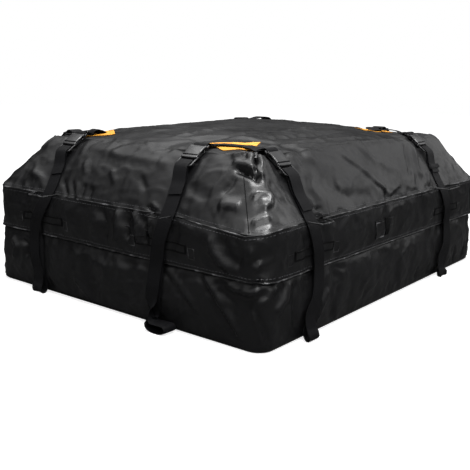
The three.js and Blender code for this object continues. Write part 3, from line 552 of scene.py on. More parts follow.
def normals_of(piece: bpy.types.Object) -> np.ndarray:
    """Vertex normals of a piece."""
    flat = np.zeros(len(piece.data.vertices) * 3)
    piece.data.vertices.foreach_get("normal", flat)
    return flat.reshape(-1, 3)


def set_points(piece: bpy.types.Object, points: np.ndarray) -> None:
    """Puts a piece's vertices at points in millimetres."""
    piece.data.vertices.foreach_set("co", (points * MM).ravel())
    piece.data.update()


def shade_soft(piece: bpy.types.Object, degrees: float = 60.0) -> None:
    """Smooth shading that keeps edges sharper than an angle."""
    pick(piece)
    bpy.ops.object.shade_smooth_by_angle(angle=math.radians(degrees))


def thicken(piece: bpy.types.Object, thick: float, degrees: float) -> None:
    """Thickens a sheet inward, in millimetres, and shades it smooth up to an angle."""
    wall = piece.modifiers.new("thickness", "SOLIDIFY")
    wall.thickness = thick * MM
    wall.offset = -1
    apply_all(piece)
    shade_soft(piece, degrees)


def face_out(piece: bpy.types.Object, degrees: float) -> None:
    """Turns a closed piece's faces outward, and shades it smooth up to an angle."""
    pick(piece)
    bpy.ops.object.mode_set(mode="EDIT")
    bpy.ops.mesh.select_all(action="SELECT")
    bpy.ops.mesh.normals_make_consistent(inside=False)
    bpy.ops.object.mode_set(mode="OBJECT")
    shade_soft(piece, degrees)


def dress(piece: bpy.types.Object, material: bpy.types.Material, slot: str, *nodes: str,
          body: str = BODY) -> None:
    """Gives a piece its finish and puts it on its body.

    Args:
        piece: the piece.
        material: its finish.
        slot: not used.
        nodes: the solids that it stands for.
        body: the body that it rides on.
    """
    piece.data.materials.append(material)
    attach(piece, body)
    if nodes:
        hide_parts(*nodes)
    LOG.info("%s: %d faces", piece.name, len(piece.data.polygons))


def travelled(line: np.ndarray) -> np.ndarray:
    """Distance along a line to each of its points."""
    return np.concatenate([[0], np.cumsum(np.linalg.norm(np.diff(line, axis=0), axis=1))])


def unit_rows(rows: np.ndarray) -> np.ndarray:
    """Rows of directions, each at length 1."""
    return rows / np.maximum(np.linalg.norm(rows, axis=1), 1e-9)[:, None]


def near_corners(points: np.ndarray, close: float, clear: float) -> np.ndarray:
    """How near points of the plan are to a top corner's straps: 1 up close, 0 when clear of them."""
    return np.max([1 - smooth(np.hypot(points[:, 0] - x, points[:, 1] - y), close, clear)
                   for _, x, y, _, _ in PATCHES], axis=0)


class Fold(Enum):
    """How the cloth rises and falls across a crease."""

    RIDGE = "ridge"
    CREASE = "crease"
    STEP = "step"


@dataclass(frozen=True)
class Crease:
    """One fold of the cloth, along a line of pixels of the photograph."""

    line: tuple[tuple[float, float], ...]
    width: float
    height: float
    fold: Fold = Fold.RIDGE


FOLD_SHARE = 1.5
RIDGE, CREASE, STEP = Fold.RIDGE, Fold.CREASE, Fold.STEP
# Puckers above the shoulder seam on the left wall
LEFT_SEAM_PUCKERS = (
    Crease(((63, 180), (67, 197)), 6, -5),
    Crease(((72, 181), (74, 198)), 5, -4),
    Crease(((85, 184), (80, 198)), 6, -4.5),
    Crease(((93, 188), (88, 199)), 5, -3.5),
    Crease(((78, 183), (77, 198)), 5, 3),
    Crease(((147, 206), (153, 213)), 5, -5),
    Crease(((152, 203), (158, 210)), 5, 4),
)
# Long vertical dents of the upper band on the left wall
LEFT_FLAP_DENTS = (
    Crease(((98, 204), (106, 226), (104, 242)), 14, -5),
    Crease(((120, 208), (118, 224), (117, 243)), 9, 8.5),
    Crease(((131, 208), (126, 222), (127, 242)), 8, -9),
    Crease(((134, 209), (138, 224), (139, 243)), 7, 8),
    Crease(((143, 215), (146, 230), (147, 247)), 6, -7.5),
    Crease(((150, 217), (150, 236)), 5, 6),
)
# Upper band round the near corner
CORNER_FLAP_FOLDS = (
    Crease(((171, 217), (182, 225), (196, 232)), 9, 3),
    Crease(((210, 234), (213, 250), (221, 262), (234, 271)), 10, 6),
    Crease(((220, 236), (228, 254), (243, 268)), 14, -5),
    Crease(((262, 262), (252, 272)), 6, 4),
    Crease(((240, 232), (249, 246), (250, 262)), 12, 3),
)
# Lower band: packing creases and crumples round the near corner
LOWER_BAND_CRUMPLES = (
    Crease(((199, 270), (220, 307), (246, 350)), 7, 4.5, STEP),
    Crease(((162, 264), (178, 286), (200, 318)), 8, 3, STEP),
    Crease(((252, 306), (260, 325), (268, 350)), 6, -4, STEP),
    Crease(((226, 282), (238, 290), (252, 293), (263, 286)), 8, 6),
    Crease(((240, 281), (251, 285), (262, 282)), 5, -6),
    Crease(((288, 278), (285, 298), (274, 314)), 9, 5),
    Crease(((277, 282), (268, 300), (254, 306)), 8, 3.5),
    Crease(((296, 280), (293, 300), (296, 330)), 8, -5),
    Crease(((218, 288), (232, 300), (236, 322)), 9, -3),
    Crease(((74, 277), (84, 288), (93, 299)), 7, 4),
    Crease(((88, 262), (120, 270), (150, 272)), 10, 2.5),
    Crease(((100, 290), (140, 300)), 10, -2.5),
    Crease(((20, 238), (28, 244), (26, 258)), 7, -6),
    Crease(((12, 236), (18, 246), (14, 258)), 7, 6),
    Crease(((329, 286), (322, 302), (314, 322)), 9, 5),
    Crease(((340, 283), (334, 304), (330, 318)), 10, -3.5),
    Crease(((432, 262), (426, 274), (423, 284)), 6, 4.5),
    Crease(((418, 266), (414, 284)), 8, -3),
    Crease(((464, 240), (461, 256)), 6, 4),
    Crease(((455, 244), (452, 262)), 7, -3),
    Crease(((366, 276), (358, 300)), 12, 2.5),
    Crease(((392, 268), (388, 290)), 12, -2.5),
)
# Near corner of the top cover: open pucker, cone fold and the bright swells
CORNER_COVER_FOLDS = (
    Crease(((235, 169), (245, 173), (252, 176), (262, 181)), 6, -8),
    Crease(((232, 163), (246, 164), (257, 169), (266, 178)), 7, 4),
    Crease(((231, 157), (244, 156), (262, 157)), 8, 5),
    Crease(((218, 206), (232, 205), (241, 207)), 12, 4),
    Crease(((222, 194), (232, 184), (236, 178)), 8, -3),
    Crease(((249, 200), (258, 192), (270, 194), (271, 203), (260, 211)), 7, 4.5),
    Crease(((250, 226), (262, 219), (272, 217)), 7, 4),
    Crease(((268, 180), (276, 192), (285, 204)), 8, -3.5),
)
# Front slope: the diagonal crease with its star, puckers at the seam and beside the straps
FRONT_SLOPE_FOLDS = (
    Crease(((338, 153), (358, 167), (385, 190)), 9, 2.2, STEP),
    Crease(((372, 180), (380, 186), (386, 192)), 5, 4),
    Crease(((384, 190), (387, 199)), 5, -5),
    Crease(((400, 184), (392, 190), (388, 196)), 5, 3.5),
    Crease(((306, 197), (311, 202), (311, 210)), 5, 4),
    Crease(((312, 212), (318, 214), (322, 219)), 5, 5),
    Crease(((315, 208), (320, 210)), 4, -4),
    Crease(((404, 142), (408, 160), (412, 180)), 8, -4),
    Crease(((412, 144), (416, 162), (421, 180)), 7, 3.5),
    Crease(((427, 172), (428, 186)), 5, 4),
    Crease(((274, 150), (283, 168), (292, 190)), 10, 4),
    Crease(((300, 146), (304, 172), (310, 190)), 12, -2.5),
    Crease(((360, 147), (372, 160), (398, 172)), 12, 2.5),
    Crease(((330, 190), (350, 196), (372, 194)), 14, -2.5),
)
# Left slope
LEFT_SLOPE_DENTS = (
    Crease(((86, 160), (86, 176)), 8, 3),
    Crease(((112, 170), (116, 184)), 7, 3),
    Crease(((140, 176), (146, 192)), 7, -3),
    Crease(((100, 150), (140, 158), (176, 166)), 14, 2.5),
    Crease(((30, 170), (40, 176), (46, 190)), 10, 3),
    Crease(((178, 178), (196, 192), (214, 200)), 14, -2.5),
)
# Long shallow runs over the top
TOP_RUNS = (
    Crease(((168, 139), (200, 132), (240, 125)), 14, 3.5),
    Crease(((186, 143), (220, 138), (262, 131)), 12, -3.5),
    Crease(((262, 139), (300, 136), (345, 132)), 12, -4),
    Crease(((280, 131), (320, 128), (352, 128)), 14, 3),
    Crease(((292, 142), (330, 140), (368, 138)), 10, 3),
    Crease(((140, 134), (170, 130), (210, 123)), 12, -2.5),
    Crease(((262, 148), (290, 146), (330, 145), (372, 142)), 8, 3),
)
CREASES = (LEFT_SEAM_PUCKERS + LEFT_FLAP_DENTS + CORNER_FLAP_FOLDS + LOWER_BAND_CRUMPLES
           + CORNER_COVER_FOLDS + FRONT_SLOPE_FOLDS + LEFT_SLOPE_DENTS + TOP_RUNS)


@dataclass
class Cloth:
    """One cloth piece while it is shaped: its sheet, and how each vertex may move."""

    name: str
    node: str
    points: np.ndarray
    faces: list
    uv: np.ndarray
    held: np.ndarray
    cap: float
    piece: bpy.types.Object = field(init=False)
    area: float = field(init=False)

    def __post_init__(self) -> None:
        """Makes the sheet's object and measures its cut."""
        self.piece = make_piece(self.name, self.points, self.faces, self.uv)
        self.area = sum(face.area for face in self.piece.data.polygons)


@dataclass(frozen=True)
class Relief:
    """Sizes of the folds that no single crease gives, in millimetres, and how sharp they are."""

    fullness: float = 170.0
    fullness_tall: float = 2.6
    crumple: float = 62.0
    crumple_tall: float = 2.0
    fine: float = 27.0
    fine_tall: float = 0.8
    sharp: float = 2.4
    upright: float = 1.5
    warp_scale: float = 0.011
    warp: float = 0.6
    pleat: float = 17.0
    pleat_tall: float = 2.6
    pleat_sharp: float = 4.2
    pleat_group: float = 140.0
    pleat_least: float = 0.35
    pleat_above: float = 26.0
    pleat_below: float = 15.0
    pleat_reach: float = 120.0
    round_radius: float = 620.0
    faintest: float = 0.04
    seed: float = 3.7

    def dent(self, point: np.ndarray) -> float:
        """Slow uneven fullness of the filling, and shallow crumples of stiff coated cloth."""
        spot = Vector((point[0], point[1], point[2] * self.upright))
        broad = noise.noise(spot * (1 / self.fullness) + Vector((self.seed, 0, 0)))
        slow = spot * self.warp_scale
        warp = Vector((noise.noise(slow), noise.noise(slow + Vector((9, 4, 2))), 0)) * self.warp
        ridged = noise.noise(spot * (1 / self.crumple) + warp + Vector((0, self.seed, 0)))
        fine = noise.noise(spot * (1 / self.fine) + warp * 1.5)
        ridged, fine = (max(0.0, 1 - abs(value) * self.sharp) for value in (ridged, fine))
        return self.fullness_tall * broad + self.crumple_tall * ridged ** 2 + self.fine_tall * fine ** 2

    def pleats(self, points: np.ndarray, form: BagForm) -> np.ndarray:
        """Small uneven gathers that hang from the shoulder seam and stand above it.

        Args:
            points: the cloth's vertices.
            form: the bag's sizes.

        Returns:
            How far each vertex moves along its normal.
        """
        around = np.arctan2(points[:, 1] / form.width, points[:, 0] / form.length) * self.round_radius
        away = points[:, 2] - form.shoulder_z
        fade = np.exp(-np.abs(away) / np.where(away > 0, self.pleat_above, self.pleat_below))
        fade = fade * (np.abs(away) < self.pleat_reach)
        relief = np.zeros(len(points))
        for i in np.flatnonzero(fade > self.faintest):
            value = noise.noise(Vector((around[i] / self.pleat, 0.3 * np.sign(away[i]), self.seed)))
            group = max(0.0, noise.noise(Vector((around[i] / self.pleat_group, 5.0, 1.0))) * 2)
            strength = self.pleat_least + (1 - self.pleat_least) * group
            relief[i] = -self.pleat_tall * strength * max(0.0, 1 - abs(value) * self.pleat_sharp) * fade[i]
        return relief


@dataclass
class BagSkins:
    """The bag's cloth: base panel, lower band, upper band and top cover."""

    # A strap presses the cloth flat from its own edge out to here, and this far in from the wall
    PRESSED = (19.0, 34.0)
    SLOPE_IN = 190.0
    # How still the straps' corners of the top are kept, and how far round: settled, then creased
    SETTLE_HOLD = 0.8
    SETTLE_SPAN = (60.0, 110.0)
    CORNER_HOLD = 0.7
    CORNER_SPAN = (40.0, 75.0)
    # Pixels between the rays that lay a fold on the cloth
    CAST_PX = 3
    # A fold's reach in widths; sharpness of a crease and of a step's lip; height of step and lip
    FOLD_REACH = 2.6
    CREASE_SHARP = 0.55
    LIP_SHARP = 0.35
    STEP_TALL = 1.6
    LIP_TALL = 0.4
    # Share of a fold's length over which its end fades, and what is left of it there
    FADE = 0.18
    FADE_LEAST = 0.15
    # A band's flat width over its mean width, which leaves room for its fullness
    CUT_SPARE = 1.02
    # Rim of the base panel: how far in under the wall, and height
    BASE_CURL = ((1.5, 5.0), (6.0, 1.2), (14.0, 0.6))
    # Cloth simulation: how heavy, stiff and tight the sheets are, and how hard the filling presses
    SHEET = {"quality": 5, "mass": 0.4, "tension_stiffness": 30, "compression_stiffness": 18,
             "shear_stiffness": 12, "bending_stiffness": 0.6, "air_damping": 2.0, "use_pressure": True,
             "uniform_pressure_force": 1.2, "shrink_min": -0.035, "shrink_max": -0.035,
             "vertex_group_mass": "held"}

    form: BagForm
    camera: PhotoCamera
    row_pitch: float = 10.0
    relax_frames: int = 14
    settle_share: float = 0.6
    slope_taut: float = 0.65
    rub_inset: float = 45.0
    rub_reach: float = 90.0
    relief: Relief = Relief()
    cloths: list[Cloth] = field(default_factory=list)

    def build(self) -> None:
        """Makes the sheets, settles them and creases them."""
        self.ring = Ring(self.form)
        self.make_base()
        self.make_lower_band()
        self.make_upper_band()
        self.make_top_cover()
        self.settle()
        for cloth in self.cloths:
            if cloth.cap:
                self.refine(cloth.piece)
        self.crease()

    def net(self, rows: list[np.ndarray], flip: bool = False) -> tuple[np.ndarray, list, np.ndarray]:
        """Joins closed rows of points into a sheet.

        Args:
            rows: the rows from the lowest to the highest.
            flip: turns the faces round.

        Returns:
            Points, faces, and millimetres along and up the cloth.
        """
        count = self.ring.size
        points = np.vstack(rows)
        along = travelled(rows[0])
        faces, uv, height = [], [], 0.0
        for k, row in enumerate(rows):
            if k:
                height += float(np.median(np.linalg.norm(row - rows[k - 1], axis=1)))
            uv.append(np.column_stack([along, np.full(count, height)]))
        for k in range(len(rows) - 1):
            for i in range(count):
                j = (i + 1) % count
                quad = [k * count + i, k * count + j, (k + 1) * count + j, (k + 1) * count + i]
                faces.append(quad[::-1] if flip else quad)
        return points, faces, np.vstack(uv)

    def wall_rows(self, low: float, high: float, depth: float) -> tuple[list[np.ndarray], list[float]]:
        """Rows of a wall between two heights.

        Args:
            low: lowest height.
            high: highest height.
            depth: how far under the outer face the wall lies.

        Returns:
            The rows and their heights.
        """
        count = max(2, round((high - low) / self.row_pitch))
        heights = [low + (high - low) * k / count for k in range(count + 1)]
        return [self.ring.row(self.form.level_of(z), depth)[0] for z in heights], heights

    def add(self, name: str, rows: list[np.ndarray], held: np.ndarray, cap: float) -> None:
        """Adds a sheet made of closed rows."""
        self.cloths.append(Cloth(f"{name}_cloth", name, *self.net(rows), held, cap))

    def make_base(self) -> None:
        """Base panel: flat on the ground, curled up at its rim to the base seam."""
        form = self.form
        rim = self.ring.row(form.level_of(form.base_seam_z), form.lower_setback, 0)[0]
        rows = [rim]
        for inward, z in self.BASE_CURL:
            row = self.ring.row(0, form.lower_setback + inward, 0)[0]
            row[:, 2] = z
            rows.append(row)
        flat = rows[-1]
        rows += [flat * (shrink, shrink, 1) for shrink in (0.94, 0.8, 0.6, 0.4, 0.2, 0.05)]
        points, faces, _ = self.net(rows, flip=True)
        faces.append([(len(rows) - 1) * self.ring.size + i for i in range(self.ring.size)][::-1])
        held = np.ones(len(points))
        self.cloths.append(Cloth("base_panel_cloth", "base_panel", points, faces, points[:, :2], held, 0))

    def make_lower_band(self) -> None:
        """Lower band: bulges between the base seam and the flap, then steps in behind the flap."""
        form = self.form
        flap, seam = form.flap_edge_z, form.base_seam_z
        rows, heights = self.wall_rows(seam + 0.3, flap - 6, form.lower_setback)
        for z, depth in ((flap + 1, form.lower_setback + 4), (flap + 8, form.zip_setback),
                         (form.zip_z - 8, form.zip_setback)):
            rows.append(self.ring.row(form.level_of(z), depth, 0)[0])
            heights.append(z)
        held = np.maximum(smooth(heights, flap - 12, flap - 4), 1 - smooth(heights, seam, seam + 12))
        self.add("lower_band", rows, np.repeat(held, self.ring.size), 9)

    def make_upper_band(self) -> None:
        """Upper band: from the free edge of the flap up to the shoulder seam."""
        form = self.form
        flap, seam = form.flap_edge_z, form.shoulder_z
        rows, heights = self.wall_rows(flap, seam - 0.2, 0)
        held = np.maximum(smooth(heights, seam - 8, seam - 1), 0.6 * (1 - smooth(heights, flap, flap + 10)))
        self.add("upper_band", rows, np.repeat(held, self.ring.size), 7)

    def make_top_cover(self) -> None:
        """Top cover: four slopes and the domed top, darted at the corners."""
        form, ring = self.form, self.ring
        levels = [1.0, 1.03]
        count = round(math.hypot(form.slope_inset, form.slope_rise) / self.row_pitch)
        levels += [1 + k / count for k in range(1, count)] + [2.0]
        rows = [ring.row(level)[0] for level in levels]
        rows[0][:, 2] = form.shoulder_z + 0.2
        points, faces, uv = self.net(rows)
        held = np.concatenate([np.maximum(ring.strap_shade(level), float(1 - smooth(level, 1.0, 1.06)))
                               for level in levels])
        grid, grid_faces = self.crown_grid(len(points) - ring.size, points[-ring.size:], len(points))
        points = np.vstack([points, grid])
        uv = np.vstack([uv, grid[:, :2] + 2000])
        held = np.concatenate([held, self.crown_hold(grid)])
        self.cloths.append(Cloth("top_cover_cloth", "top_cover", points, faces + grid_faces, uv, held, 10))

    def crown_grid(self, rim: int, edge: np.ndarray, start: int) -> tuple[np.ndarray, list]:
        """Regular net over the top whose rim is the ring of the top edge.

        Args:
            rim: vertex number of the ring's first column.
            edge: the ring's points.
            start: vertex number of the net's first own point.

        Returns:
            The net's inner points, and its faces.
        """
        ring = self.ring
        half = ring.corner_steps // 2
        spans = []
        for wall in Side:
            first = ring.start(wall) - half
            spans.append([(first + k) % ring.size for k in range(ring.counts[wall.value] + 2 * half)])
        front, right, back, left = spans
        back, left = back[::-1], left[::-1]
        wide, deep = len(front), len(right)
        along = (edge[front, 0] - edge[front[0], 0]) / (edge[front[-1], 0] - edge[front[0], 0])
        across = (edge[right, 1] - edge[right[0], 1]) / (edge[right[-1], 1] - edge[right[0], 1])
        number = np.full((wide, deep), -1)
        number[:, 0] = [rim + i for i in front]
        number[:, -1] = [rim + i for i in back]
        number[0, :] = [rim + i for i in left]
        number[-1, :] = [rim + i for i in right]
        points = []
        for i in range(1, wide - 1):
            for j in range(1, deep - 1):
                u, v = along[i], across[j]
                blend = ((1 - v) * edge[front[i]] + v * edge[back[i]]
                         + (1 - u) * edge[left[j]] + u * edge[right[j]])
                blend = blend - ((1 - u) * (1 - v) * edge[front[0]] + u * (1 - v) * edge[front[-1]]
                                 + (1 - u) * v * edge[back[0]] + u * v * edge[back[-1]])
                number[i, j] = start + len(points)
                points.append((blend[0], blend[1], float(self.form.crown_height(blend[0], blend[1]))))
        around = ((0, 0), (1, 0), (1, 1), (0, 1))
        faces = [[int(number[i + di, j + dj]) for di, dj in around]
                 for i in range(wide - 1) for j in range(deep - 1)]
        return np.array(points), faces

    def crown_hold(self, grid: np.ndarray) -> np.ndarray:
        """Keeps the top still near the corner webbings and patches."""
        return self.SETTLE_HOLD * near_corners(grid, *self.SETTLE_SPAN)

    def settle(self) -> None:
        """Lets the filling press on the sheets, which are cut a little large, so that they buckle."""
        scene = bpy.context.scene
        jobs = []
        for cloth in self.cloths:
            if not cloth.cap:
                continue
            piece = cloth.piece
            group = piece.vertex_groups.new(name="held")
            for value in sorted(set(np.round(cloth.held, 2))):
                members = np.flatnonzero(np.round(cloth.held, 2) == value)
                group.add([int(i) for i in members], float(value), "REPLACE")
            modifier = piece.modifiers.new("settle", "CLOTH")
            for name, value in self.SHEET.items():
                setattr(modifier.settings, name, value)
            modifier.settings.effector_weights.gravity = 0
            modifier.collision_settings.use_collision = False
            modifier.collision_settings.use_self_collision = False
            modifier.point_cache.frame_end = self.relax_frames + 2
            jobs.append((cloth, modifier, points_of(piece)))
        for number in range(1, self.relax_frames + 1):
            scene.frame_set(number)
        graph = bpy.context.evaluated_depsgraph_get()
        for cloth, modifier, before in jobs:
            moved = cloth.piece.evaluated_get(graph)
            flat = np.zeros(len(moved.data.vertices) * 3)
            moved.data.vertices.foreach_get("co", flat)
            shift = flat.reshape(-1, 3) / MM - before
            length = np.linalg.norm(shift, axis=1)
            cloth.piece.modifiers.remove(modifier)
            share = self.settle_share * np.minimum(1, cloth.cap / np.maximum(length, 1e-6))
            half = self.form.slope_rise / 2
            taut = self.slope_taut * bell(before[:, 2] - self.form.shoulder_z - half, half)
            set_points(cloth.piece, before + shift * (share * (1 - taut))[:, None])
            LOG.info("%s moved %.1f mm at most", cloth.name, float(length.max()))
        scene.frame_set(1)

    @staticmethod
    def refine(piece: bpy.types.Object) -> None:
        """Halves the spacing of a sheet's net, so that folds show in it."""
        modifier = piece.modifiers.new("finer", "SUBSURF")
        modifier.levels = modifier.render_levels = 1
        apply_all(piece)

    def crease(self) -> None:
        """Sags the shoulder seam, then presses pleats, slow dents and the photographed folds in."""
        for cloth in self.cloths:
            if cloth.node in ("upper_band", "top_cover"):
                points = points_of(cloth.piece)
                points[:, 2] += self.form.back_lift(*points.T) - self.form.seam_dip(*points.T)
                set_points(cloth.piece, points)
        whole = BagSurface([cloth.piece for cloth in self.cloths if cloth.cap])
        strokes = [(fold, self.cast(whole, fold)) for fold in CREASES]
        for cloth in self.cloths:
            if not cloth.cap:
                continue
            points, normals = points_of(cloth.piece), normals_of(cloth.piece)
            relief = np.array([self.relief.dent(point) for point in points])
            relief += self.relief.pleats(points, self.form)
            for fold, line in strokes:
                if len(line) > 1:
                    relief += self.pressed(points, normals, fold, line)
            relief *= 1 - self.strap_hold(points)
            if cloth.node == "lower_band":
                # Room behind the flap for the zip's pulls
                flap = self.form.flap_edge_z
                relief *= 1 - smooth(points[:, 2], flap - 14, flap - 4)
            set_points(cloth.piece, points + normals * relief[:, None])

    def cast(self, whole: "BagSurface", fold: Crease) -> np.ndarray:
        """Lays a fold's pixels on the cloth.

        Args:
            whole: the bag's surface.
            fold: the fold.

        Returns:
            Points along the fold, closely spaced.
        """
        found = []
        for a, b in zip(fold.line, fold.line[1:]):
            steps = max(1, math.ceil(math.dist(a, b) / self.CAST_PX))
            for k in range(steps + (b is fold.line[-1])):
                px = (a[0] + (b[0] - a[0]) * k / steps, a[1] + (b[1] - a[1]) * k / steps)
                hit = whole.hit(Vector(self.camera.place), self.camera.ray(px))
                if hit is not None:
                    found.append(hit)
        return np.array(found)

    def pressed(self, points: np.ndarray, normals: np.ndarray, fold: Crease,
                line: np.ndarray) -> np.ndarray:
        """Relief of one fold at each vertex.

        Args:
            points: the cloth's vertices.
            normals: their normals.
            fold: the fold's width, height and kind.
            line: points along it.

        Returns:
            How far each vertex moves along its normal.
        """
        relief = np.zeros(len(points))
        reach = fold.width * self.FOLD_REACH
        low, high = line.min(axis=0) - reach, line.max(axis=0) + reach
        near = np.flatnonzero(np.all((points > low) & (points < high), axis=1))
        if len(near) == 0:
            return relief
        own = points[near]
        a, b = line[:-1], line[1:]
        run = b - a
        size = np.maximum((run ** 2).sum(axis=1), 1e-6)
        share = np.clip(np.einsum("nmk,mk->nm", own[:, None, :] - a[None], run) / size, 0, 1)
        foot = a[None] + share[..., None] * run[None]
        away = own[:, None, :] - foot
        distance = np.linalg.norm(away, axis=2)
        best = distance.argmin(axis=1)
        rows = np.arange(len(near))
        d = distance[rows, best]
        along = (best + share[rows, best]) / len(a)
        ends = smooth(along, 0.0, self.FADE) * (1 - smooth(along, 1 - self.FADE, 1.0))
        fade = ends * (1 - self.FADE_LEAST) + self.FADE_LEAST
        if fold.fold is Fold.CREASE:
            profile = np.exp(-d / (fold.width * self.CREASE_SHARP))
        elif fold.fold is Fold.STEP:
            across = np.cross(normals[near], run[best])
            signed = np.sign((away[rows, best] * across).sum(axis=1)) * d
            profile = self.STEP_TALL * (signed / fold.width) * bell(d, fold.width)
            profile += self.LIP_TALL * np.exp(-d / (fold.width * self.LIP_SHARP))
        else:
            profile = bell(d, fold.width)
        relief[near] = FOLD_SHARE * fold.height * profile * fade
        return relief

    def strap_hold(self, points: np.ndarray) -> np.ndarray:
        """Share of each vertex that a strap presses flat on the slope."""
        form = self.form
        hold = np.zeros(len(points))
        for strap in STRAPS:
            s = points[:, :2] @ strap.side.along
            out = points[:, :2] @ strap.side.out
            shift = np.interp(points[:, 2], (form.shoulder_z, form.edge_z), (strap.at_shoulder, 0))
            near = 1 - smooth(np.abs(s - strap.place - shift), *self.PRESSED)
            on_slope = (points[:, 2] > form.shoulder_z - 10) & (out > form.half(strap.side) - self.SLOPE_IN)
            hold = np.maximum(hold, near * on_slope)
        corners = self.CORNER_HOLD * near_corners(points, *self.CORNER_SPAN)
        return np.maximum(hold, corners * (points[:, 2] > form.edge_z - 10))

    def finish(self, finish: "Tarpaulin") -> None:
        """Gives the sheets their thickness and finish and puts them on the bag."""
        form, material = self.form, finish.material()
        for cloth in self.cloths:
            piece = cloth.piece
            thicken(piece, form.cloth, 75)
            points = points_of(piece)
            away = np.hypot(abs(points[:, 0]) - form.length / 2 + self.rub_inset,
                            abs(points[:, 1]) - form.width / 2 + self.rub_inset)
            high = smooth(points[:, 2], form.shoulder_z - 30, form.shoulder_z + 8)
            rub = piece.data.attributes.new("rub", "FLOAT", "POINT")
            rub.data.foreach_set("value", bell(away, self.rub_reach) * high)
            dress(piece, material, "tarpaulin", cloth.node)


class BagSurface:
    """The finished outside of the cloth, for laying other pieces on it."""

    # Farther from the bag's middle, and higher, than any of its cloth
    FAR = 900.0
    HIGH = 700.0

    def __init__(self, pieces: list[bpy.types.Object]) -> None:
        """Gathers the pieces' faces.

        Args:
            pieces: the cloth pieces.
        """
        points, faces, start = [], [], 0
        for piece in pieces:
            own = points_of(piece)
            points.extend(tuple(p) for p in own)
            faces.extend(tuple(start + i for i in f.vertices) for f in piece.data.polygons)
            start += len(own)
        self.tree = BVHTree.FromPolygons(points, faces)

    def hit(self, origin: Vector, direction: Vector) -> tuple[float, float, float] | None:
        """First point that a ray meets."""
        place = self.tree.ray_cast(origin, direction)[0]
        return None if place is None else tuple(place)

    def out_at(self, side: Side, s: float, z: float) -> float | None:
        """How far out the cloth stands on a side.

        Args:
            side: the side.
            s: place along it.
            z: height.

        Returns:
            The distance from the middle, or nothing where no cloth is.
        """
        place = self.hit(Vector((*side.plan(self.FAR, s), z)), Vector((*-side.out, 0)))
        return None if place is None else float(np.dot(place[:2], side.out))

    def top_at(self, x: float, y: float) -> tuple[Vector, Vector]:
        """Point and normal of the cloth under a place of the plan."""
        return self.tree.ray_cast(Vector((x, y, self.HIGH)), Vector((0, 0, -1)))[:2]

    def nearest(self, point: Vector) -> tuple[Vector, Vector]:
        """Nearest point of the cloth, and its normal."""
        return self.tree.find_nearest(point)[:2]


@dataclass(frozen=True)
class WebbingSize:
    """Sizes of the straps' webbing and of what they pass through, as in the solids."""

    width: float = 38.0
    thick: float = 1.4
    gap: float = 0.3
    patch_thick: float = 1.2
    buckle_length: float = 76.0
    buckle_thick: float = 12.0
    buckle_seat: float = 0.95
    buckle_chord: float = 0.6
    bar_size: float = 4.0
    bar_thick: float = 3.0
    mouth_x: float = 3.0
    prong_clear: float = 0.5
    clip_shoulder: float = 9.0
    lock_front_slot: float = 6.5
    strap_clear: float = 1.7
    sewn_slack: float = 0.8
    strand_apart: float = 2.1
    shoulder_turn: float = 13.0
    lead_in: float = 22.0
    tail_start: float = 18.0
    tail_lift: float = 2.4
    blend_from: float = 78.0
    blend_to: float = 3.0
    past_bar: float = 4.0
    exit_run: float = 18.0
    fold_clear: float = 0.8
    apex_in: float = 14.0
    apex_out: float = 51.0
    apex_from_edge: float = 102.0

    @property
    def wrap_lift(self) -> float:
        """Height of the webbing's middle over the middle of a bar that it goes round."""
        return self.bar_thick / 2 + self.gap + self.thick / 2

    def apex(self, form: BagForm, x: float, y: float) -> np.ndarray:
        """Where a corner webbing turns, from where its two straps' lines cross.

        Args:
            form: the bag's sizes.
            x: where the long side's strap stands.
            y: where the short side's strap stands.

        Returns:
            The place on the plan.
        """
        far = min(abs(y) + self.apex_out, form.edge_half[1] - self.apex_from_edge)
        return np.array([x - math.copysign(self.apex_in, x), math.copysign(far, y)])


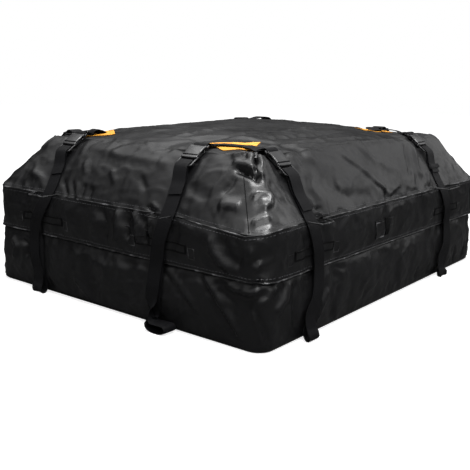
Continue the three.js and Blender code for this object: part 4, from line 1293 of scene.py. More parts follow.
class SectionWalk:
    """Section of the solid skin at a strap, walked from the top edge down the slope."""

    SLOPE_LEVELS = (1.1, 1.3, 1.5, 1.7, 1.86, 2.0)
    CROWN_SHRINKS = (0.93, 0.8, 0.6, 0.4)
    # How far each way the section is looked along for its direction
    LOOK = 6.0

    def __init__(self, form: BagForm, strap: StrapLine) -> None:
        """Takes the section.

        Args:
            form: the bag's sizes.
            strap: the strap whose place is cut.
        """
        self.form, self.strap = form, strap
        band_top = form.shoulder_z - 0.15
        tape_top = form.zip_z + form.upper_tape_rise
        walls = (form.flap_edge_z, (form.flap_edge_z + form.zip_z) / 2, form.zip_z, tape_top,
                 (tape_top + form.shoulder_z) / 2, band_top)
        levels = [0.0, form.level_of(form.flap_edge_z) / 2]
        levels += [form.level_of(z) for z in walls] + list(self.SLOPE_LEVELS)
        points = [self.skin(level) for level in levels]
        self.edge = len(points) - 1
        self.shoulder = 1 + len(walls)
        edge_out = points[-1][0]
        for shrink in self.CROWN_SHRINKS:
            plan = strap.side.plan(edge_out * shrink, strap.place)
            points.append((edge_out * shrink, float(form.crown_height(*plan))))
        self.points = np.array(points)
        self.reach = travelled(self.points)

    def skin(self, level: float) -> tuple[float, float]:
        """Distance out and height of the solid skin at a level."""
        form = self.form
        inset, z, _ = form.outline(level)
        turn = 0.0
        if 1 < level < 2:
            turn = form.slope_turn
        elif level >= 2:
            turn = (form.slope_turn + math.pi / 2) / 2
        straight = form.reach(self.strap.side) - form.corner_radius
        fullness = 1 - (self.strap.place / straight) ** 2
        swell = form.bulge(level) * fullness - form.strap_valley * form.valley(level)
        return form.half(self.strap.side) - inset + swell * math.cos(turn), z + swell * math.sin(turn)

    def at(self, drop: float) -> np.ndarray:
        """Point at a distance below the top edge, or in over the top where it is negative."""
        target = self.reach[self.edge] - drop
        return np.array([np.interp(target, self.reach, self.points[:, k]) for k in (0, 1)])

    def lifted(self, drop: float, height: float) -> np.ndarray:
        """The same, at a height off the cloth."""
        run = self.at(drop + self.LOOK) - self.at(drop - self.LOOK)
        run = run / np.linalg.norm(run)
        return self.at(drop) + np.array([-run[1], run[0]]) * height


class BuckleFrame:
    """A buckle's own flat frame on a section: X away from the top, Z off the cloth."""

    def __init__(self, walk: SectionWalk, strap: StrapLine, size: WebbingSize) -> None:
        """Seats the buckle on its proudest spot.

        Args:
            walk: the section.
            strap: the buckle's strap.
            size: the webbing's and the buckle's sizes.
        """
        half = size.buckle_length / 2
        chord = half * size.buckle_chord
        axis = walk.at(strap.drop + chord) - walk.at(strap.drop - chord)
        self.axis = axis / np.linalg.norm(axis)
        self.off = np.array([-self.axis[1], self.axis[0]])
        middle = walk.at(strap.drop)
        steps = np.arange(-half - 6, half + 6.001, 3)
        proud = max(0.0, *(float((walk.at(strap.drop + k) - middle) @ self.off) for k in steps))
        self.origin = middle + self.off * (proud + size.buckle_seat + size.buckle_thick / 2)

    def place(self, x: float, z: float) -> np.ndarray:
        """Distance out and height of a point of the buckle's frame."""
        return self.origin + self.axis * x + self.off * z


def between(t: float, start: float, end: float, first: np.ndarray, last: np.ndarray) -> np.ndarray:
    """Straight blend of two rows at a time between their own times."""
    return (end - t) / (end - start) * first + (t - start) / (end - start) * last


def spline(stops: np.ndarray, pitch: float) -> np.ndarray:
    """Smooth curve through stops, in steps of about a pitch.

    Args:
        stops: one row for each stop.
        pitch: the distance between points of the curve.

    Returns:
        The curve's points, with any further columns blended the same way.
    """
    padded = np.vstack([2 * stops[0] - stops[1], stops, 2 * stops[-1] - stops[-2]])
    found = []
    for i in range(1, len(padded) - 2):
        p0, p1, p2, p3 = padded[i - 1:i + 3]
        pairs = ((p0, p1), (p1, p2), (p2, p3))
        gap = [max(1e-3, np.linalg.norm(b[:3] - a[:3]) ** 0.5) for a, b in pairs]
        t0, t1 = 0.0, gap[0]
        t2, t3 = t1 + gap[1], t1 + gap[1] + gap[2]
        count = max(1, round(np.linalg.norm(p2[:3] - p1[:3]) / pitch))
        for k in range(count):
            t = t1 + (t2 - t1) * k / count
            a1, a2, a3 = between(t, t0, t1, p0, p1), between(t, t1, t2, p1, p2), between(t, t2, t3, p2, p3)
            found.append(between(t, t1, t2, between(t, t0, t2, a1, a2), between(t, t1, t3, a2, a3)))
    found.append(stops[-1])
    return np.array(found)


def ribbon(name: str, line: np.ndarray, cross: np.ndarray, size: WebbingSize,
           across: int = 6) -> bpy.types.Object:
    """Flat webbing swept along a line.

    Args:
        name: the piece's name.
        line: its middle line.
        cross: the crosswise direction at each point.
        size: the webbing's sizes.
        across: faces across its width.

    Returns:
        The piece, with millimetres across and along it as its UV map.
    """
    run = unit_rows(np.gradient(line, axis=0))
    cross = unit_rows(cross - run * (cross * run).sum(axis=1)[:, None])
    normal = np.cross(run, cross)
    along = travelled(line)
    widths = np.linspace(-0.5, 0.5, across + 1)
    points, uv = [], []
    for i, middle in enumerate(line):
        for face in (1, -1):
            for w in (widths if face > 0 else widths[::-1]):
                thick = size.thick / 2 * (1 - 0.55 * abs(2 * w) ** 8)
                spot = middle + cross[i] * w * size.width
                # Webbing that would dip into the ground is lifted onto it
                spot[2] = max(spot[2], size.gap + abs(normal[i][2]) * thick)
                points.append(spot + normal[i] * face * thick)
                uv.append((w * size.width + (100 if face < 0 else 0), along[i]))
    count = 2 * (across + 1)
    faces = []
    for i in range(len(line) - 1):
        for k in range(count):
            a, b = i * count + k, i * count + (k + 1) % count
            faces.append([a, a + count, b + count, b])
    faces.append(list(range(count)))
    last = (len(line) - 1) * count
    faces.append([last + k for k in range(count)][::-1])
    piece = make_piece(name, np.array(points), faces, np.array(uv))
    face_out(piece, 50)
    return piece


@dataclass
class Webbings:
    """The eight tie-down straps and the four webbings over the corners of the top."""

    # Heights of the two corner webbing humps over the top
    HUMPS = {"front_left": (1.5, 1.5), "front_right": (6, 5), "back_right": (6, 8), "back_left": (7, 12)}
    # Places across the webbing where the cloth under it is felt for
    FEELERS = (-17, -8, 0, 8, 17)

    form: BagForm
    surface: BagSurface
    size: WebbingSize = field(default_factory=WebbingSize)
    pitch: float = 4.0
    patch_slack: float = 1.2

    def build(self, finish: "WovenWebbing") -> None:
        """Makes the webbings.

        Args:
            finish: the webbing's finish.
        """
        self.material = finish.material()
        self.walks = {strap.name: SectionWalk(self.form, strap) for strap in STRAPS}
        self.frames = {}
        for strap in STRAPS:
            self.frames[strap.name] = BuckleFrame(self.walks[strap.name], strap, self.size)
            self.make_strap(strap)
        for name, x, y, long, short in PATCHES:
            self.make_corner(name, x, y, long, short)

    def wrap(self, near: float, far: float, turn: int) -> list[tuple[float, float]]:
        """Webbing from under a bar round its near side and back over it."""
        lift = self.size.wrap_lift
        bow = near - turn * lift
        return [(far, -lift), (near, -lift), (bow + turn * 0.7, -lift * 0.55), (bow, 0),
                (bow + turn * 0.7, lift * 0.55), (near, lift), (far, lift)]

    def stand_off(self, strap: StrapLine, s: float, z: float, fallback: float) -> float:
        """Proudest cloth under the width of a strap at a height."""
        found = [self.surface.out_at(strap.side, s + w, z) for w in self.FEELERS]
        return max((v for v in found if v is not None), default=fallback)

    def make_strap(self, strap: StrapLine) -> None:
        """Strap: sewn at the band patch, down to the ground, looped and back up outside to the buckle.

        Args:
            strap: its place and its stray.
        """
        form, size = self.form, self.size
        walk, buckle = self.walks[strap.name], self.frames[strap.name]
        sewn = size.patch_thick + 2 * size.gap + size.thick / 2 + size.sewn_slack
        rest = form.half(strap.side)
        stops = []

        def hang(z: float, lift: float, stray: float) -> None:
            s = strap.place + strap.sway(z, form) + stray
            stops.append((self.stand_off(strap, s, max(z, 16), rest) + lift, s, z, 0.0))

        for z, share in ((form.patch_z, 0.0), (169, 0.2), (form.flap_edge_z, 0.5), (114, 1.0), (76, 1.0),
                         (40, 0.6)):
            hang(z, sewn + 0.3, strap.inner_stray * share)
        self.ground_loop(strap, stops, sewn)
        outer = sewn + size.thick + size.strand_apart
        for z in (94, form.flap_edge_z, form.patch_z + 6):
            hang(z, outer, 0.0)
        hang(form.shoulder_z - size.shoulder_turn, outer - 2.0, 0.0)
        # Up the slope to the buckle, round the clip's bar, and the tail back down on top
        shoulder_drop = walk.reach[walk.edge] - walk.reach[walk.shoulder]
        half = size.buckle_length / 2
        clip_end = strap.drop + half
        for k in range(5):
            drop = shoulder_drop - 16 + (clip_end + size.lead_in - shoulder_drop + 16) * k / 4
            out, z = walk.lifted(drop, size.strap_clear + size.thick / 2 + 0.5)
            stops.append((out, strap.stand(z, form), z, 0.0))
        bar_x = size.mouth_x + size.prong_clear + size.clip_shoulder + size.lock_front_slot
        turns = self.wrap(bar_x, bar_x + size.bar_size, 1)
        for x, z in ((half + 1, -size.wrap_lift), *turns, (half + 1, size.wrap_lift)):
            out, height = buckle.place(x, z)
            stops.append((out, strap.place, height, 0.0))
        for k in range(1, 4):
            run = size.tail_start + (strap.tail - size.tail_start) * k / 3
            out, z = walk.lifted(min(clip_end + run, shoulder_drop - 10),
                                 size.strap_clear + 1.5 * size.thick + size.tail_lift)
            stops.append((out, strap.stand(z, form) + 0.8 * k, z, 0.0))
        curve = spline(self.to_plan(strap, stops), self.pitch)
        curve[:, 2] = np.maximum(curve[:, 2], size.thick / 2 + size.gap)
        cross = self.crosses(strap, curve)
        piece = ribbon(f"{strap.name}_webbing_strap", curve[:, :3], cross, size)
        piece.data.materials.append(self.material)
        clip_point, tip = self.blend_ends(strap, walk, clip_end)
        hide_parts(f"{strap.name}_strap")
        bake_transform(piece)
        LOG.info("%s: %d faces", piece.name, len(piece.data.polygons))

    def blend_ends(self, strap: StrapLine, walk: SectionWalk, clip_end: float) -> tuple[tuple, tuple]:
        """Where a strap starts to follow its clip, and where it follows it wholly.

        Args:
            strap: the strap.
            walk: its section.
            clip_end: drop of the clip's lower end.

        Returns:
            The two points, in metres.
        """
        ends = []
        for past in (self.size.blend_from, self.size.blend_to):
            out, z = walk.at(clip_end + past)
            plan = strap.side.plan(out, strap.place)
            ends.append((plan[0] * MM, plan[1] * MM, z * MM))
        return ends[0], ends[1]

    def ground_loop(self, strap: StrapLine, stops: list, sewn: float) -> None:
        """Adds the slack of a strap that lies on the ground.

        Args:
            strap: the strap.
            stops: the strap's stops so far.
            sewn: how far its inner strand stands off the cloth.
        """
        base = self.form.half(strap.side)
        low = self.size.thick / 2 + 2 * self.size.gap
        s = strap.place + strap.at_ground
        stray = strap.inner_stray * 0.3
        if strap.side_loop:
            edge = base + self.size.width / 2 + 3
            reach = strap.side_loop
            for out, along, z, turn in (
                (base + sewn + 5, 0, 26, 0.25), (edge, 6, 9, 0.8), (edge, 0.4 * reach, low, 1),
                (edge, 0.8 * reach, low + 1, 1), (edge + 1, reach, low + 8, 1), (edge, 0.93 * reach, 19, 1),
                (edge, 0.6 * reach, 20, 1), (edge - 2, 0.25 * reach, 21, 0.9),
                (base + sewn + 12, 2, 42, 0.5), (base + sewn + 10, 0, 62, 0.1),
            ):
                stops.append((out, s + along, z, turn))
            return
        loop = strap.loop
        for past, z, share in (
            (sewn + 3, 20, 0.3), (loop * 0.4, 5.7 + low, 0.2), (loop * 0.75, low, 0.1), (loop, 4 + low, 0),
            (loop * 0.98, 12.7 + low, -0.2), (loop * 0.72, 25.7 + low, -0.3), (sewn + 9, 52, -0.3),
        ):
            stops.append((base + past, s + stray * share * 4, z, 0.0))

    @staticmethod
    def to_plan(strap: StrapLine, stops: list) -> np.ndarray:
        """Turns stops of the side's own frame into X, Y, Z and turn."""
        return np.array([(*strap.side.plan(out, s), z, turn) for out, s, z, turn in stops])

    @staticmethod
    def crosses(strap: StrapLine, curve: np.ndarray) -> np.ndarray:
        """Crosswise direction along a strap, turned outward where it lies on its edge."""
        along = np.array([*strap.side.along, 0.0])
        out = np.array([*strap.side.out, 0.0])
        turn = np.clip(curve[:, 3], 0, 1)[:, None] * math.pi / 2
        return along * np.cos(turn) + out * np.sin(turn)

    def make_corner(self, name: str, x: float, y: float, long: str, short: str) -> None:
        """Webbing from one socket in over the patch, round its turn and out to the other socket.

        Args:
            name: the corner's name.
            x: where the long side's buckle stands.
            y: where the short side's buckle stands.
            long: name of the long side's strap.
            short: name of the short side's strap.
        """
        size = self.size
        legs = [self.socket_leg(strap) for strap in (long, short)]
        (near, near_cross), (far, far_cross) = legs
        apex = size.apex(self.form, x, y)
        pull = 2 * apex - (near[-1][:2] + far[-1][:2]) / 2
        lift = size.patch_thick + 2 * size.gap + size.thick / 2 + self.patch_slack
        line, cross = list(near), [near_cross] * len(near)
        run = pull - near[-1][:2]
        hand = math.copysign(1, -run[1] * near_cross[0] + run[0] * near_cross[1])
        for k in range(1, 10):
            t = k / 10
            spot = (1 - t) ** 2 * near[-1][:2] + 2 * t * (1 - t) * pull + t * t * far[-1][:2]
            run = (1 - t) * (pull - near[-1][:2]) + t * (far[-1][:2] - pull)
            run = run / np.linalg.norm(run)
            rise = math.sin(math.pi * (2 * min(t, 1 - t)) ** 0.6) ** 2
            hump = self.HUMPS[name][0 if t < 0.5 else 1] * rise
            ground = self.surface.top_at(*spot)[0]
            line.append(np.array([spot[0], spot[1], ground.z + lift + hump]))
            cross.append(np.array([-run[1], run[0], 0]) * hand)
        far_cross = far_cross * math.copysign(1, float(far_cross @ cross[-1]))
        line += far[::-1]
        cross += [far_cross] * len(far)
        rows = np.hstack([np.array(line), np.array(cross)])
        curve = spline(rows, self.pitch)
        piece = ribbon(f"{name}_corner_band", curve[:, :3], curve[:, 3:6], size)
        dress(piece, self.material, "webbing", f"{name}_corner_webbing")

    def socket_leg(self, name: str) -> tuple[list[np.ndarray], np.ndarray]:
        """Webbing round a socket's bar: its folded end on top, then under the bar and in over the edge.

        Args:
            name: the strap whose socket it holds.

        Returns:
            Points from the folded end to the way in, and the crosswise direction.
        """
        size = self.size
        strap = next(item for item in STRAPS if item.name == name)
        walk, buckle = self.walks[name], self.frames[name]
        half = size.buckle_length / 2
        exit_drop = strap.drop - half - size.exit_run
        exit_lift = size.wrap_lift + size.thick + size.gap
        flat = [tuple(walk.lifted(exit_drop, exit_lift + size.thick + size.fold_clear))]
        turns = self.wrap(size.bar_size - half, -half - size.past_bar, -1)[::-1]
        flat += [tuple(buckle.place(px, pz)) for px, pz in turns]
        flat.append(tuple(walk.lifted(exit_drop, exit_lift)))
        points = [np.array([*strap.side.plan(out, strap.place), z]) for out, z in flat]
        return points, np.array([*strap.side.along, 0.0])


def laid_strip(name: str, surface: BagSurface, side: Side, spans: list[tuple[float, float, float, float]],
               lift: float, thick: float, pitch: float = 7.0) -> bpy.types.Object:
    """Flat pieces sewn to a wall, bent with the cloth.

    Args:
        name: the piece's name.
        surface: the cloth that they lie on.
        side: the wall.
        spans: for each piece, its two places along the wall and its two heights.
        lift: height of their backs off the cloth.
        thick: their thickness.
        pitch: greatest size of a face.

    Returns:
        One object with all the pieces.
    """
    points, faces, uv = [], [], []
    for s0, s1, z0, z1 in spans:
        across = max(1, math.ceil(abs(s1 - s0) / pitch))
        up = max(1, math.ceil(abs(z1 - z0) / pitch))
        start = len(points)
        grid = [(s0 + (s1 - s0) * i / across, z0 + (z1 - z0) * j / up)
                for j in range(up + 1) for i in range(across + 1)]
        size = len(grid)
        for height in (lift + thick, lift):
            for s, z in grid:
                points.append((*side.plan((surface.out_at(side, s, z) or 0) + height, s), z))
                uv.append((s, z))
        for j in range(up):
            for i in range(across):
                a = start + j * (across + 1) + i
                quad = [a, a + 1, a + across + 2, a + across + 1]
                faces.append(quad)
                faces.append([v + size for v in quad[::-1]])
        rim = [(j, 0) for j in range(up)] + [(up, i) for i in range(across)]
        rim += [(j, across) for j in range(up, 0, -1)] + [(0, i) for i in range(across, 0, -1)]
        numbers = [start + j * (across + 1) + i for j, i in rim]
        for a, b in zip(numbers, numbers[1:] + numbers[:1]):
            faces.append([a, b, b + size, a + size])
    piece = make_piece(name, np.array(points), faces, np.array(uv))
    face_out(piece, 40)
    return piece


def outline_spans(s0: float, s1: float, z0: float, z1: float,
                  wide: float) -> list[tuple[float, float, float, float]]:
    """The four bars of a stitched rectangle.

    Args:
        s0: its start along the wall.
        s1: its end along the wall.
        z0: its bottom.
        z1: its top.
        wide: width of the bars.

    Returns:
        Spans for laid_strip.
    """
    return [(s0, s1, z0, z0 + wide), (s0, s1, z1 - wide, z1), (s0, s0 + wide, z0 + wide, z1 - wide),
            (s1 - wide, s1, z0 + wide, z1 - wide)]


def cord_tube(name: str, lines: list[np.ndarray], radius: float, sides: int = 6) -> bpy.types.Object:
    """Thin round beads along lines, such as a welt or the thread of a seam.

    Args:
        name: the piece's name.
        lines: points along each bead; a line that ends where it starts is closed.
        radius: the bead's radius.
        sides: flats round it.

    Returns:
        One object with all the beads.
    """
    points, faces = [], []
    for line in lines:
        closed = np.linalg.norm(line[0] - line[-1]) < 1e-6
        stops = line[:-1] if closed else line
        count = len(stops)
        ring_run = np.roll(stops, -1, axis=0) - np.roll(stops, 1, axis=0)
        run = unit_rows(ring_run if closed else np.gradient(stops, axis=0))
        up = np.tile([0.0, 0.0, 1.0], (count, 1))
        up[np.abs(run[:, 2]) > 0.9] = (1.0, 0.0, 0.0)
        wide = unit_rows(np.cross(run, up))
        tall = np.cross(wide, run)
        start = len(points)
        for i in range(count):
            for k in range(sides):
                turn = 2 * math.pi * k / sides
                points.append(stops[i] + (wide[i] * math.cos(turn) + tall[i] * math.sin(turn)) * radius)
        for i in range(count if closed else count - 1):
            j = (i + 1) % count
            for k in range(sides):
                n = (k + 1) % sides
                faces.append([start + i * sides + k, start + i * sides + n,
                              start + j * sides + n, start + j * sides + k])
        if not closed:
            faces.append([start + k for k in range(sides)][::-1])
            faces.append([start + (count - 1) * sides + k for k in range(sides)])
    piece = make_piece(name, np.array(points), faces)
    face_out(piece, 70)
    return piece


@dataclass
class SewnTrims:
    """Seam welts, hems, rows of stitches, sewn patches and the pull tab's plate."""

    # Where a dart's seam starts above the shoulder, and where it ends under its pucker
    DART_LEVELS = (1.02, 1.82)

    form: BagForm
    surface: BagSurface
    camera: PhotoCamera
    patch_length: float = 150.0
    patch_height: float = 21.0
    bar: float = 3.6
    fine_bar: float = 1.3
    tab_place: float = -68.0
    tab_width: float = 94.0
    tab_height: float = 44.0
    tab_rise: float = 45.0
    stitch: float = 5.0
    stitch_gap: float = 3.5
    thread_lift: float = 0.25
    thread_radius: float = 0.55
    look_from: float = 40.0
    near_dart_px: tuple[tuple[float, float], tuple[float, float]] = ((243.8, 177.5), (249.0, 234.0))

    def build(self) -> None:
        """Makes every trim."""
        self.cloth = Tarpaulin().material()
        # Edge finish: dark, with a painted highlight in pale patches
        self.edge = EDGE_WITH_PAINTED_GLINT.material()
        # Thread finish: black thread drawn dark grey, partly a painted highlight
        self.thread = THREAD_WITH_PAINTED_GLINT.material()
        # Black finish: tape, and the painted shade of the dart seams' grooves
        self.black = BLACK_TAPE_AND_SEAM_SHADE.material()
        self.welts()
        self.dart_seam_shade_lines()
        for strap in STRAPS:
            self.band_patch(strap)
        self.tab()

    def around(self, z: float, lift: float) -> np.ndarray:
        """Line round the bag at a height, on the cloth.

        Args:
            z: the height.
            lift: distance off the cloth.

        Returns:
            A closed line.
        """
        ring = Ring(self.form, 14.0, 6)
        rows = ring.row(min(self.form.level_of(z), 0.999), -self.look_from)[0]
        line = []
        for row, out in zip(rows, ring.out):
            level = z - float(self.form.seam_dip(*(row[:2] - self.look_from * out), z))
            hit = self.surface.hit(Vector((row[0], row[1], level)), Vector((*-out, 0)))
            spot = row if hit is None else np.array(hit)
            line.append((*(spot[:2] + out * lift), level))
        return np.array(line + line[:1])

    def welts(self) -> None:
        """Bead in the shoulder seam, the flap's hem and the rows of stitches beside them."""
        form = self.form
        # Both beads wear the edge finish, whose pale patches are a painted highlight along the seam and the
        # hem
        for name, z, lift, radius in (("shoulder_welt", form.shoulder_z - 0.6, 0.2, 1.5),
                                      ("flap_hem_bead", form.flap_edge_z + 1.2, 0.3, 1.7)):
            dress(cord_tube(name, [self.around(z, lift)], radius), self.edge, "tarpaulin")
        stitches = []
        for z in (form.shoulder_z - 7.5, form.shoulder_z + 7, form.flap_edge_z + 9):
            line = self.around(z, self.thread_lift)
            along = travelled(line)
            pitch = self.stitch + self.stitch_gap
            for k in range(int(along[-1] / pitch)):
                marks = np.array([k * pitch, k * pitch + self.stitch])
                stitches.append(np.column_stack([np.interp(marks, along, line[:, c]) for c in range(3)]))
        dress(cord_tube("seam_stitches", stitches, self.thread_radius, 4), self.thread, "tarpaulin")

    def dart_seam_shade_lines(self) -> None:
        """Seam down the middle of each corner of the cover, from its pucker to the shoulder: a thin bead for
        the seam, drawn black as a painted shade along its groove.
        """
        ring = Ring(self.form)
        lines = []
        for wall in Side:
            if wall is Side.LEFT:
                continue
            column = (ring.start(wall) + ring.counts[wall.value] - 1 + ring.corner_steps // 2) % ring.size
            line = []
            for level in np.linspace(*self.DART_LEVELS, 26):
                spot, normal = self.surface.nearest(Vector(ring.row(level)[0][column]))
                line.append(tuple(spot + normal * 0.2))
            lines.append(np.array(line))
        pixels = np.linspace(*self.near_dart_px, 30)
        hits = [self.surface.hit(Vector(self.camera.place), self.camera.ray(px)) for px in pixels]
        lines.append(np.array([hit for hit in hits if hit is not None]))
        # Black bead: painted shade along the seam's groove
        dress(cord_tube("dart_seam_shade_lines", lines, 1.0), self.black, "tarpaulin")

    def band_patch(self, strap: StrapLine) -> None:
        """Patch that a strap is sewn to, with its heavy stitched outline.

        Args:
            strap: the strap.
        """
        z = self.form.patch_z
        s0, s1 = strap.place - self.patch_length / 2, strap.place + self.patch_length / 2
        z0, z1 = z - self.patch_height / 2, z + self.patch_height / 2
        bars = outline_spans(s0, s1, z0, z1, self.bar)
        # The squares wear the edge finish, with its painted highlight
        squares = (outline_spans(s1 + 5, s1 + 24, z0 - 9, z1 - 5, self.fine_bar)
                   + outline_spans(s0 - 24, s0 - 5, z0 - 7, z1 - 3, self.fine_bar))
        self.sew(strap.side, (
            (f"{strap.name}_sewn_patch", [(s0, s1, z0, z1)], 0.2, 0.9, self.cloth, "webbing",
             f"{strap.name}_band_patch"),
            (f"{strap.name}_box_stitch", bars, 1.1, 0.7, self.black, "webbing"),
            (f"{strap.name}_end_squares", squares, 0.15, 0.4, self.edge, "tarpaulin"),
        ))

    def sew(self, side: Side, strips: tuple[tuple, ...]) -> None:
        """Sews strips to a wall.

        Args:
            side: the wall.
            strips: for each, its name, spans, lift, thickness, finish, slot and the solids it stands for.
        """
        for name, spans, lift, thick, material, slot, *nodes in strips:
            dress(laid_strip(name, self.surface, side, spans, lift, thick), material, slot, *nodes)

    def tab(self) -> None:
        """Tab of the zip's flap: a doubled plate with two stitched squares and a black strip beside them."""
        z = self.form.flap_edge_z + self.tab_rise
        s0, s1 = self.tab_place - self.tab_width / 2, self.tab_place + self.tab_width / 2
        z0, z1 = z - self.tab_height / 2, z + self.tab_height / 2
        # The stitched squares wear the edge finish, with its painted highlight
        light = (outline_spans(s0 + 1, s0 + 46, z0, z1 - 4, 2.4)
                 + outline_spans(s0 + 68, s1 - 2, z0 + 24, z1, 2.2))
        # Black strip beside the squares, darker than the plate
        pull = [(s0 + 48, s0 + 60, z0 + 3, z1 + 2), (s0 + 60, s0 + 64, z0 + 3, z0 + 30)]
        self.sew(Side.FRONT, (
            ("flap_tab_plate", [(s0, s1, z0, z1)], 0.3, 1.3, self.cloth, "tarpaulin", "flap_tab"),
            ("flap_tab_stitching", light, 1.6, 0.4, self.edge, "tarpaulin"),
            ("flap_tab_dark_strip", pull, 1.6, 2.2, self.black, "webbing"),
        ))


@dataclass
class StrapFittings:
    """Keeper that holds the tail of the right front strap."""

    # Corners of the loop: place across the strap beyond its edge, and height off the cloth
    CORNERS = ((-1, 0.0, 1.2), (-1, 0.0, 6.4), (1, 3.0, 7.2), (1, 9.0, 8.5), (1, 9.0, 4.0), (1, 0.0, 1.2))

    form: BagForm
    webbings: Webbings
    keeper_width: float = 12.0
    keeper_drop: float = 104.0
    side_clear: float = 1.6
    lift: float = 0.4
    pitch: float = 2.5
    look: float = 5.0

    def build(self) -> None:
        """Makes the keeper."""
        strap = next(item for item in STRAPS if item.name == "front_right")
        walk, size = self.webbings.walks[strap.name], self.webbings.size
        half = size.width / 2 + self.side_clear
        ring = []
        for hand, beyond, height in self.CORNERS:
            spot, z = walk.lifted(self.keeper_drop, height + self.lift)
            ring.append((*strap.side.plan(spot, strap.stand(z, self.form) + hand * half + beyond), z))
        ring.append(ring[0])
        run = walk.at(self.keeper_drop + self.look) - walk.at(self.keeper_drop - self.look)
        way = np.array([*(strap.side.out * run[0]), run[1]])
        curve = spline(np.array(ring), self.pitch)
        narrow = WebbingSize(width=self.keeper_width)
        piece = ribbon("front_right_keeper", curve, np.tile(way, (len(curve), 1)), narrow, 4)
        dress(piece, self.webbings.material, "webbing")


class Nodes:
    """The nodes of one material, or of the world, from its textures to its output."""

    # A wave texture of scale 1 repeats after this many units
    WAVE_PERIOD = 0.314

    def __init__(self, owner: bpy.types.Material | bpy.types.World) -> None:
        """Empties the owner's tree.

        Args:
            owner: the material or the world.
        """
        owner.use_nodes = True
        self.owner, self.tree = owner, owner.node_tree
        self.tree.nodes.clear()
        self.place = self.add("TexCoord").outputs

    def add(self, kind: str, values: dict | None = None) -> bpy.types.Node:
        """Adds a node.

        Args:
            kind: the node's type, without the words that all types start with.
            values: attributes by name, and inputs by name or number. A socket is linked.

        Returns:
            The node.
        """
        node = self.tree.nodes.new(f"ShaderNode{kind}")
        for key, value in (values or {}).items():
            if isinstance(value, bpy.types.NodeSocket):
                self.tree.links.new(value, node.inputs[key])
            elif isinstance(key, str) and hasattr(node, key):
                setattr(node, key, value)
            else:
                node.inputs[key].default_value = value
        return node

    def noise(self, size: float, detail: float, **more: float | str) -> bpy.types.NodeSocket:
        """Mottling fixed to the piece, with blotches of a size in metres."""
        values = {**more, "Scale": 1 / size, "Detail": detail, "Vector": self.place["Object"]}
        return self.add("TexNoise", values).outputs[0]

    def waves(self, direction: str, apart_mm: float, place: str) -> bpy.types.NodeSocket:
        """Ribs a distance apart, across a direction of the named coordinates."""
        scale = self.WAVE_PERIOD / (apart_mm * MM)
        return self.add("TexWave", {"wave_type": "BANDS", "bands_direction": direction, "Scale": scale,
                                    "Vector": self.place[place]}).outputs["Fac"]

    def tones(self, share: bpy.types.NodeSocket, dark: str, light: str) -> bpy.types.NodeSocket:
        """Colour between two tones, by a share."""
        return self.add("Mix", {"data_type": "RGBA", 0: share, 6: srgb(dark), 7: srgb(light)}).outputs[2]

    def math(self, operation: str, *terms: bpy.types.NodeSocket | float) -> bpy.types.NodeSocket:
        """Result of an operation on sockets and numbers."""
        return self.add("Math", {"operation": operation, **dict(enumerate(terms))}).outputs[0]

    def spread(self, value: bpy.types.NodeSocket, span: tuple[float, float] = (0.0, 1.0),
               onto: tuple[float, float] = (0.0, 1.0)) -> bpy.types.NodeSocket:
        """A value moved from one span onto another, and kept within it."""
        return self.add("MapRange", {"From Min": span[0], "From Max": span[1], "To Min": onto[0],
                                     "To Max": onto[1], 0: value}).outputs[0]

    def bump(self, height: bpy.types.NodeSocket, strength: float, tall_mm: float,
             over: bpy.types.NodeSocket | None = None) -> bpy.types.NodeSocket:
        """Relief from a height, over another relief where one is given."""
        values = {"Strength": strength, "Distance": tall_mm * MM, "Height": height}
        return self.add("Bump", values if over is None else {**values, "Normal": over}).outputs[0]

    def coat(self, colour: bpy.types.NodeSocket, rough: bpy.types.NodeSocket | float,
             level: bpy.types.NodeSocket | float, normal: bpy.types.NodeSocket,
             **more: float) -> bpy.types.Material:
        """Ends the tree with its one surface.

        Args:
            colour: its base colour.
            rough: its roughness.
            level: its specular level.
            normal: its relief.
            more: other inputs.

        Returns:
            The material.
        """
        shader = self.add("BsdfPrincipled", {"Base Color": colour, "Roughness": rough,
                                             "Specular IOR Level": level, "Normal": normal, **more})
        self.add("OutputMaterial", {"Surface": shader.outputs[0]})
        return self.owner

    def shader_mix(self, share: bpy.types.NodeSocket, first: bpy.types.Node,
                   second: bpy.types.Node) -> bpy.types.Node:
        """Shader between two shaders, by a share."""
        return self.add("MixShader", {0: share, 1: first.outputs[0], 2: second.outputs[0]})


@dataclass(frozen=True)
class Tarpaulin:
    """PVC-coated polyester tarpaulin, calendered: a satin film over a faint scrim grid.

    The film gives soft broad highlights. Folding has left fine crumples in it, and handling has
    rubbed it a little duller in places.
    """

    deep: str = "#0c0c0d"
    worn: str = "#161617"
    patch_size: float = 0.09
    scrim_mm: float = 2.6
    crumple_mm: float = 28.0
    grain_mm: float = 5.0
    rough: tuple[float, float] = (0.33, 0.5)
    level: tuple[float, float] = (0.22, 0.5)
    polish: float = 0.12

    def material(self) -> bpy.types.Material:
        """Makes the material.

        Returns:
            The finish of the bag's cloth.
        """
        nodes = Nodes(bpy.data.materials.new("calendered_tarpaulin"))
        patches = nodes.noise(self.patch_size, 4.0, Roughness=0.6)
        crumple = nodes.noise(self.crumple_mm * MM, 3.0, noise_type="RIDGED_MULTIFRACTAL",
                              Roughness=0.5, Lacunarity=2.1)
        # Threads stand 1 mm apart in the real scrim, and are drawn coarser here so that they show
        scrim = nodes.math("MULTIPLY", *(nodes.waves(way, self.scrim_mm, "UV") for way in "XY"))
        relief = nodes.bump(crumple, 0.75, 1.1)
        relief = nodes.bump(nodes.noise(self.grain_mm * MM, 3.0), 0.35, 0.35, relief)
        relief = nodes.bump(scrim, 0.3, 0.12, relief)
        # Handling polishes the film at the corners, which then shine
        rub = nodes.add("Attribute", {"attribute_name": "rub"}).outputs["Fac"]
        rough = nodes.math("MULTIPLY_ADD", rub, -self.polish, nodes.spread(patches, (0.3, 0.7), self.rough))
        return nodes.coat(nodes.tones(patches, self.deep, self.worn), rough,
                          nodes.spread(rub, onto=self.level), relief, IOR=1.5)


